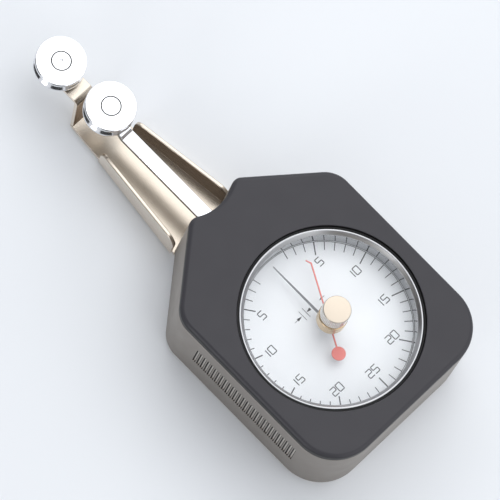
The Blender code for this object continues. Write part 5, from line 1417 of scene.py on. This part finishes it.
def make_peak_pointer():
    """Peak pointer: a hooked blade with a disc at its tail, a hub and the pin that is pushed."""
    low, high = levels("peak_pointer")
    half, hook = PEAK_HALF, PEAK_HOOK
    foot = levels("knob_shaft")[0]
    top = foot + HAND_SHEET
    outline = [turned_to(PEAK_ANGLE, *place) for place in (
        (-PEAK_TAIL, half), (-PEAK_TAIL, -half), (PEAK_REACH - half, -half),
        (PEAK_REACH + hook - half, -half - hook), (PEAK_REACH + hook, -hook),
        (PEAK_REACH, half))]
    tail = turned_to(PEAK_ANGLE, -PEAK_TAIL, 0)
    drag = turned_to(PEAK_ANGLE, DRAG_PIN_PLACE, 0)
    peak = merge(
        "peak_hand", flat_plate("peak_blade", [outline], foot, top),
        turned("peak_disc", solid_profile(PEAK_DISC_RADIUS, foot, top + PEAK_DISC_RISE),
               PEAK_DISC_EDGE, tail.x, tail.y, 64),
        turned("peak_hub", solid_profile(PEAK_HUB_RADIUS, high - PEAK_HUB_HEIGHT, high),
               BROKEN_EDGE, sides=48),
        lathe("peak_pin", solid_profile(DRAG_PIN_RADIUS, low, top - DRAG_PIN_SUNK), drag.x,
              drag.y, 16))
    dress(polish(peak), "peak", "peak_pointer_body", "red_pointer", "peak_pointer")


# Reset knob

def knob_ridge(radius, height, low, high):
    """One ridge of the knurl: a narrow bar with sloped ends."""
    loops = []
    for level, out in ((low, 0), (low + RIDGE_SLOPE, height), (high - RIDGE_SLOPE, height),
                       (high, 0)):
        flank = out * RIDGE_FLANK_SHARE
        loops.append([Vector((radius + away, side * RIDGE_HALF, level)) for away, side in (
            (-RIDGE_ROOT, -1), (flank, -1), (out, 0), (flank, 1), (-RIDGE_ROOT, 1))])
    return loft("ridge", loops)


def make_knob(knob):
    """Knurled knob, its shaft, the bush that it turns in and the nut that holds the bush."""
    low, top = levels("reset_knob")
    radius = reach("reset_knob") - knob.ridge_height
    core = turned("knob_core", [
        (0, top), (radius - KNOB_EDGE, top), (radius, top - KNOB_EDGE), (radius, low + KNOB_EDGE),
        (radius - KNOB_EDGE, low), (0, low)], KNOB_EDGE, sides=144)
    dress(polish(core), "knob", "peak_pointer_body", "turned_brass", "reset_knob")
    ridge = knob_ridge(radius, knob.ridge_height, low + RIDGE_MARGIN, top - RIDGE_MARGIN)
    knurl = grow("knob_knurl", ring_tree(), {"Piece": ridge, "Count": knob.ridges,
                                             "Material": MATERIALS["knurl"]})
    bpy.data.objects.remove(ridge)
    dress(knurl, "knurl", "peak_pointer_body", "turned_brass")
    low, top = levels("knob_bush")
    collar, seat, soft = reach("knob_bush"), LENS_TOP + BUSH_SEAT, BUSH_EDGE
    bush = turned("knob_collar", [
        (BUSH_BORE, top), (collar, top), (collar, seat), (BUSH_RADIUS, seat),
        (BUSH_RADIUS, low), (BUSH_BORE, low)],
        [soft, BUSH_COLLAR_ROUND, soft, soft, soft, soft], ring=True)
    dress(polish(bush), "collar", "meter_body", "turned_brass", "knob_bush")
    nut = flat_plate("lens_nut", [circle(NUT_RADIUS, 6), circle(LENS_HOLE, 48)],
                     *levels("knob_bush_nut"))
    dress(polish(nut), "screw", "meter_body", "turned_steel", "knob_bush_nut")
    shaft = turned("reset_shaft", solid_profile(SHAFT_RADIUS, *levels("knob_shaft")),
                   BROKEN_EDGE, sides=32)
    dress(polish(shaft), "screw", "peak_pointer_body", "turned_steel", "knob_shaft")


# Rollers

def grooved_roller(name, low, top, y):
    """A roller with its yarn groove, its bore and the recess for the pin's head."""
    radius, edge, recess = ROLLER_RADIUS, ROLLER_EDGE, ROLLER_RECESS_RADIUS
    middle, seat = (low + top) / 2, top - ROLLER_RECESS_DEPTH
    fine, soft, round_groove = 0.05 * MM, 0.15 * MM, 0.45 * MM
    corners = (
        (recess, top, fine), (radius - edge, top, soft), (radius, top - edge, soft),
        (radius, middle + YARN_GROOVE_HALF, soft), (YARN_GROOVE_RADIUS, middle, round_groove),
        (radius, middle - YARN_GROOVE_HALF, soft), (radius, low + edge, soft),
        (radius - edge, low, soft), (ROLLER_BORE, low, fine), (ROLLER_BORE, seat, 0),
        (recess, seat, 0))
    return turned(name, corners, [corner[2] for corner in corners], 0, y, 160, ring=True,
                  step=12 * DEG)


def make_rollers():
    """Both grooved rollers, each with the pin that holds it and the washer beneath."""
    for name, y, own, carrier, dimple, sunk in (
            ("fixed", FIXED_ROLLER_Y, "fixed_roller_body", "meter_body", 0.55 * MM, 0.3 * MM),
            ("lever", LEVER_ROLLER_Y, "lever_roller_body", "lever_body", 0.35 * MM, 0.15 * MM)):
        low, top = levels(f"{name}_roller")
        roller = grooved_roller(f"{name}_grooved_roller", low, top, y)
        dress(polish(roller), f"{name}_roller", own, "polished_steel", f"{name}_roller")
        foot = levels(f"{name}_roller_pin")[0]
        head, ledge = top - PIN_HEAD_HEIGHT, foot + PIN_FOOT_HEIGHT
        pin = turned(f"{name}_pin", [
            (0, top - sunk), (dimple, top), (PIN_HEAD_RADIUS, top), (PIN_HEAD_RADIUS, head),
            (PIN_RADIUS, head), (PIN_RADIUS, ledge), (PIN_FOOT_RADIUS, ledge),
            (PIN_FOOT_RADIUS, foot), (0, foot)], BROKEN_EDGE, 0, y, 72)
        dress(polish(pin), f"{name}_roller", carrier, "polished_steel", f"{name}_roller_pin")
        washer = turned(f"{name}_washer", ring_profile(
            ROLLER_BORE, WASHER_RADIUS, *levels(f"{name}_roller_washer")), WASHER_EDGE, 0, y,
            72, ring=True)
        dress(polish(washer), "collar", carrier, "turned_brass", f"{name}_roller_washer")


# Lever

def lever_half(y):
    """Half width of the lever: the eye on its arbor, the bar and the pad under the roller."""
    return max(disc_half(y, LEVER_AXIS_Y, LEVER_EYE_RADIUS) if y < JOGGLE_FOOT_Y else 0,
               disc_half(y, LEVER_ROLLER_Y, LEVER_PAD_RADIUS) if y > JOGGLE_HEAD_Y else 0,
               LEVER_HALF if LEVER_AXIS_Y < y < LEVER_ROLLER_Y else 0)


def make_lever():
    """Measuring lever: a buffed bar with a small step up to its roller."""
    rise = LEVER_LOW + JOGGLE_RISE
    path = [(y, LEVER_LOW) for y in disc_stations(LEVER_AXIS_Y, LEVER_EYE_RADIUS)]
    path += fillet([(LEVER_BAR_START_Y, LEVER_LOW), (JOGGLE_FOOT_Y, LEVER_LOW),
                    (JOGGLE_HEAD_Y, rise), (LEVER_BAR_END_Y, rise)], JOGGLE_BEND, step=8 * DEG)
    path += [(y, rise) for y in disc_stations(LEVER_ROLLER_Y, LEVER_PAD_RADIUS)
             if y > LEVER_PAD_START_Y]
    bar = strip("lever_bar", path, lever_half, LEVER_THICKNESS, LEVER_EDGE)
    dress(polish(bar), "bright", "lever_body", "polished_steel", "measuring_lever")


# Movement behind the dial

# Frame nodes that stay in sight, by their finish
MOVEMENT_FINISHES = {
    "plate_brass": ("lower_movement_plate", "upper_movement_plate", "lever_bush_lower",
                    "lever_bush_upper", "pointer_bush_lower", "pointer_bush_upper",
                    "sector_gear", "centre_pinion", "lever_hub", "measuring_spring_collet",
                    "measuring_spring_stud", "hairspring_collet", "hairspring_stud",
                    *(f"movement_pillar_{number}" for number in range(1, 5))),
    "screw": ("lever_arbor", "pointer_arbor", "stop_pin_left", "stop_pin_right",
              *(f"plate_screw_{number}" for number in range(1, 5))),
    "spring": ("measuring_spring", "hairspring"),
}


# Stage

def aimed(place):
    """The turn of something at a place that faces the meter."""
    return (Vector(place) - STAGE_MIDDLE).to_track_quat("Z", "Y")


def soft_light(name, place, width, height, power):
    """A large lamp that the camera doesn't see."""
    light = bpy.data.lights.new(name, "AREA")
    light.shape = "RECTANGLE"
    light.size, light.size_y = width, height
    light.energy = power
    lamp = add_object(name, light)
    lamp.location = place
    lamp.rotation_mode = "QUATERNION"
    lamp.rotation_quaternion = aimed(place)
    lamp.visible_camera = False


def stage_sheet(name, matrix, material):
    """A flat sheet of the stage: a unit square, placed by a matrix."""
    shape = bmesh.new()
    bmesh.ops.create_grid(shape, x_segments=1, y_segments=1, size=0.5)
    shape.transform(matrix)
    sheet = new_piece(name, shape)
    sheet.data.materials.append(material)
    return sheet


def dark_card(name, place, width, height):
    """A dark card that only reflections show."""
    card = stage_sheet(name, Matrix.Translation(place) @ aimed(place).to_matrix().to_4x4()
                       @ Matrix.Diagonal((width, height, 1, 1)), MATERIALS["card"])
    card.visible_camera = False


def make_floor(colour):
    """Seamless paper: pale and matt, its fibres drawn 0.6 mm apart, as coarse as they show."""
    material, add, shader = new_material("seamless_paper", {
        "Base Color": (*colour, 1), "Roughness": 0.8})
    grain(add, shader, 0.6 * MM, 0.01 * MM)
    stage_sheet("floor", Matrix.Translation((0, 0, -FLOOR_DROP))
                @ Matrix.Diagonal((FLOOR_SIZE, FLOOR_SIZE, 1, 1)), material)


def make_camera():
    """Camera that sees the meter from where the photograph was taken."""
    lens = bpy.data.cameras.new("camera")
    lens.lens = CAMERA_LENS
    lens.sensor_width = CAMERA_SENSOR
    lens.sensor_fit = "HORIZONTAL"
    lens.clip_start, lens.clip_end = 0.05, 20.0
    ahead = CAMERA_AHEAD.normalized()
    up = -(CAMERA_DOWN - ahead * CAMERA_DOWN.dot(ahead)).normalized()
    right = ahead.cross(up)
    camera = add_object("camera", lens)
    camera.matrix_world = Matrix.Translation(CAMERA_EYE) @ Matrix(
        (right, up, -ahead)).transposed().to_4x4()
    bpy.context.scene.camera = camera


def make_stage(stage):
    """Floor, surrounding light, lamps, dark cards and camera."""
    make_floor(stage.floor_colour)
    world = bpy.data.worlds.new("studio_air")
    world.use_nodes = True
    set_inputs(world.node_tree.nodes["Background"], {
        "Color": AIR_COLOUR, "Strength": stage.air})
    bpy.context.scene.world = world
    bpy.context.scene.view_settings.view_transform = "Standard"
    for name, place, width, height, power in (
            ("key", (0.5, 0.12, 1.0), 0.9, 1.2, stage.key_power),
            ("left_strip", (-1.0, 0.05, 0.36), 0.3, 0.5, stage.fill_power * 0.5),
            ("near_fill", (0.15, -1.0, 0.6), 1.4, 0.7, stage.fill_power),
            ("far_fill", (0.7, 0.9, 0.8), 0.9, 0.9, stage.fill_power)):
        soft_light(name, place, width, height, power)
    # Dark cards beside the left light give the polished rims and bends their dark lines.
    for name, place, width, height in (
            ("far_card", (-0.75, 0.75, 0.3), 0.9, 0.6),
            ("near_card", (-0.75, -0.62, 0.3), 0.7, 0.6),
            ("high_card", (-0.52, 0.31, 1.1), 0.7, 0.7)):
        dark_card(name, place, width, height)
    make_camera()


# Operators and panel

class METER_OT_finishes(bpy.types.Operator):
    """Mixes every material of the meter"""
    bl_idname = "meter.finishes"
    bl_label = "Finishes"

    def execute(self, context):
        make_materials(context.scene.tension_meter)
        return {"FINISHED"}


class METER_OT_cover(bpy.types.Operator):
    """Builds the painted front cover"""
    bl_idname = "meter.cover"
    bl_label = "Front cover"

    def execute(self, context):
        make_cover(context.scene.tension_meter.body)
        return {"FINISHED"}


class METER_OT_case(bpy.types.Operator):
    """Builds the cast case with its grip grooves"""
    bl_idname = "meter.case"
    bl_label = "Case"

    def execute(self, context):
        make_case(context.scene.tension_meter.body)
        return {"FINISHED"}


class METER_OT_fork(bpy.types.Operator):
    """Builds the back plate with its fork"""
    bl_idname = "meter.fork"
    bl_label = "Back plate and fork"

    def execute(self, context):
        make_fork(context.scene.tension_meter.fork)
        return {"FINISHED"}


class METER_OT_screws(bpy.types.Operator):
    """Builds the countersunk screws in the back"""
    bl_idname = "meter.screws"
    bl_label = "Screws"

    def execute(self, context):
        make_screws()
        return {"FINISHED"}


class METER_OT_ring(bpy.types.Operator):
    """Builds the ring, its gasket and the window"""
    bl_idname = "meter.ring"
    bl_label = "Ring and window"

    def execute(self, context):
        make_ring()
        return {"FINISHED"}


class METER_OT_dial(bpy.types.Operator):
    """Builds the dial and its print"""
    bl_idname = "meter.dial"
    bl_label = "Dial"

    def execute(self, context):
        make_dial(context.scene.tension_meter.dial)
        return {"FINISHED"}


class METER_OT_pointers(bpy.types.Operator):
    """Builds the main pointer and the peak pointer"""
    bl_idname = "meter.pointers"
    bl_label = "Pointers"

    def execute(self, context):
        make_main_pointer()
        make_peak_pointer()
        return {"FINISHED"}


class METER_OT_knob(bpy.types.Operator):
    """Builds the knurled reset knob and its bush"""
    bl_idname = "meter.knob"
    bl_label = "Reset knob"

    def execute(self, context):
        make_knob(context.scene.tension_meter.knob)
        return {"FINISHED"}


class METER_OT_rollers(bpy.types.Operator):
    """Builds both grooved rollers with their pins and washers"""
    bl_idname = "meter.rollers"
    bl_label = "Rollers"

    def execute(self, context):
        make_rollers()
        return {"FINISHED"}


class METER_OT_lever(bpy.types.Operator):
    """Builds the measuring lever"""
    bl_idname = "meter.lever"
    bl_label = "Lever"

    def execute(self, context):
        make_lever()
        return {"FINISHED"}


class METER_OT_movement(bpy.types.Operator):
    """Finishes the movement behind the dial"""
    bl_idname = "meter.movement"
    bl_label = "Movement"

    def execute(self, context):
        for finish, nodes in MOVEMENT_FINISHES.items():
            for node in nodes:
                coat(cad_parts[node].data, finish)
        return {"FINISHED"}


class METER_OT_stage(bpy.types.Operator):
    """Sets up the floor, the lights and the camera"""
    bl_idname = "meter.stage"
    bl_label = "Stage"

    def execute(self, context):
        make_stage(context.scene.tension_meter.stage)
        return {"FINISHED"}


OPERATORS = (METER_OT_finishes, METER_OT_cover, METER_OT_case, METER_OT_fork, METER_OT_screws,
             METER_OT_ring, METER_OT_dial, METER_OT_pointers, METER_OT_knob, METER_OT_rollers,
             METER_OT_lever, METER_OT_movement, METER_OT_stage)


class METER_PT_panel(bpy.types.Panel):
    """Lists the meter's pieces and settings"""
    bl_idname = "METER_PT_panel"
    bl_label = "Tension Meter"
    bl_space_type = "VIEW_3D"
    bl_region_type = "UI"
    bl_category = "Tension Meter"

    def draw(self, context):
        for operator in OPERATORS:
            self.layout.operator(operator.bl_idname)
        settings = context.scene.tension_meter
        for group in (settings.body, settings.fork, settings.dial, settings.knob,
                      settings.stage):
            box = self.layout.box()
            for name in group.__annotations__:
                box.prop(group, name)


CLASSES = (BodySettings, ForkSettings, DialSettings, KnobSettings, StageSettings,
           MeterSettings, *OPERATORS, METER_PT_panel)


def register():
    for kind in CLASSES:
        bpy.utils.register_class(kind)
    bpy.types.Scene.tension_meter = PointerProperty(
        type=MeterSettings, name="Tension meter", description="Sizes and colours of the meter")


def unregister():
    del bpy.types.Scene.tension_meter
    for kind in reversed(CLASSES):
        bpy.utils.unregister_class(kind)


def main():
    register()
    for operator in OPERATORS:
        group, name = operator.bl_idname.split(".")
        getattr(getattr(bpy.ops, group), name)()


if __name__ == "__main__":
    main()
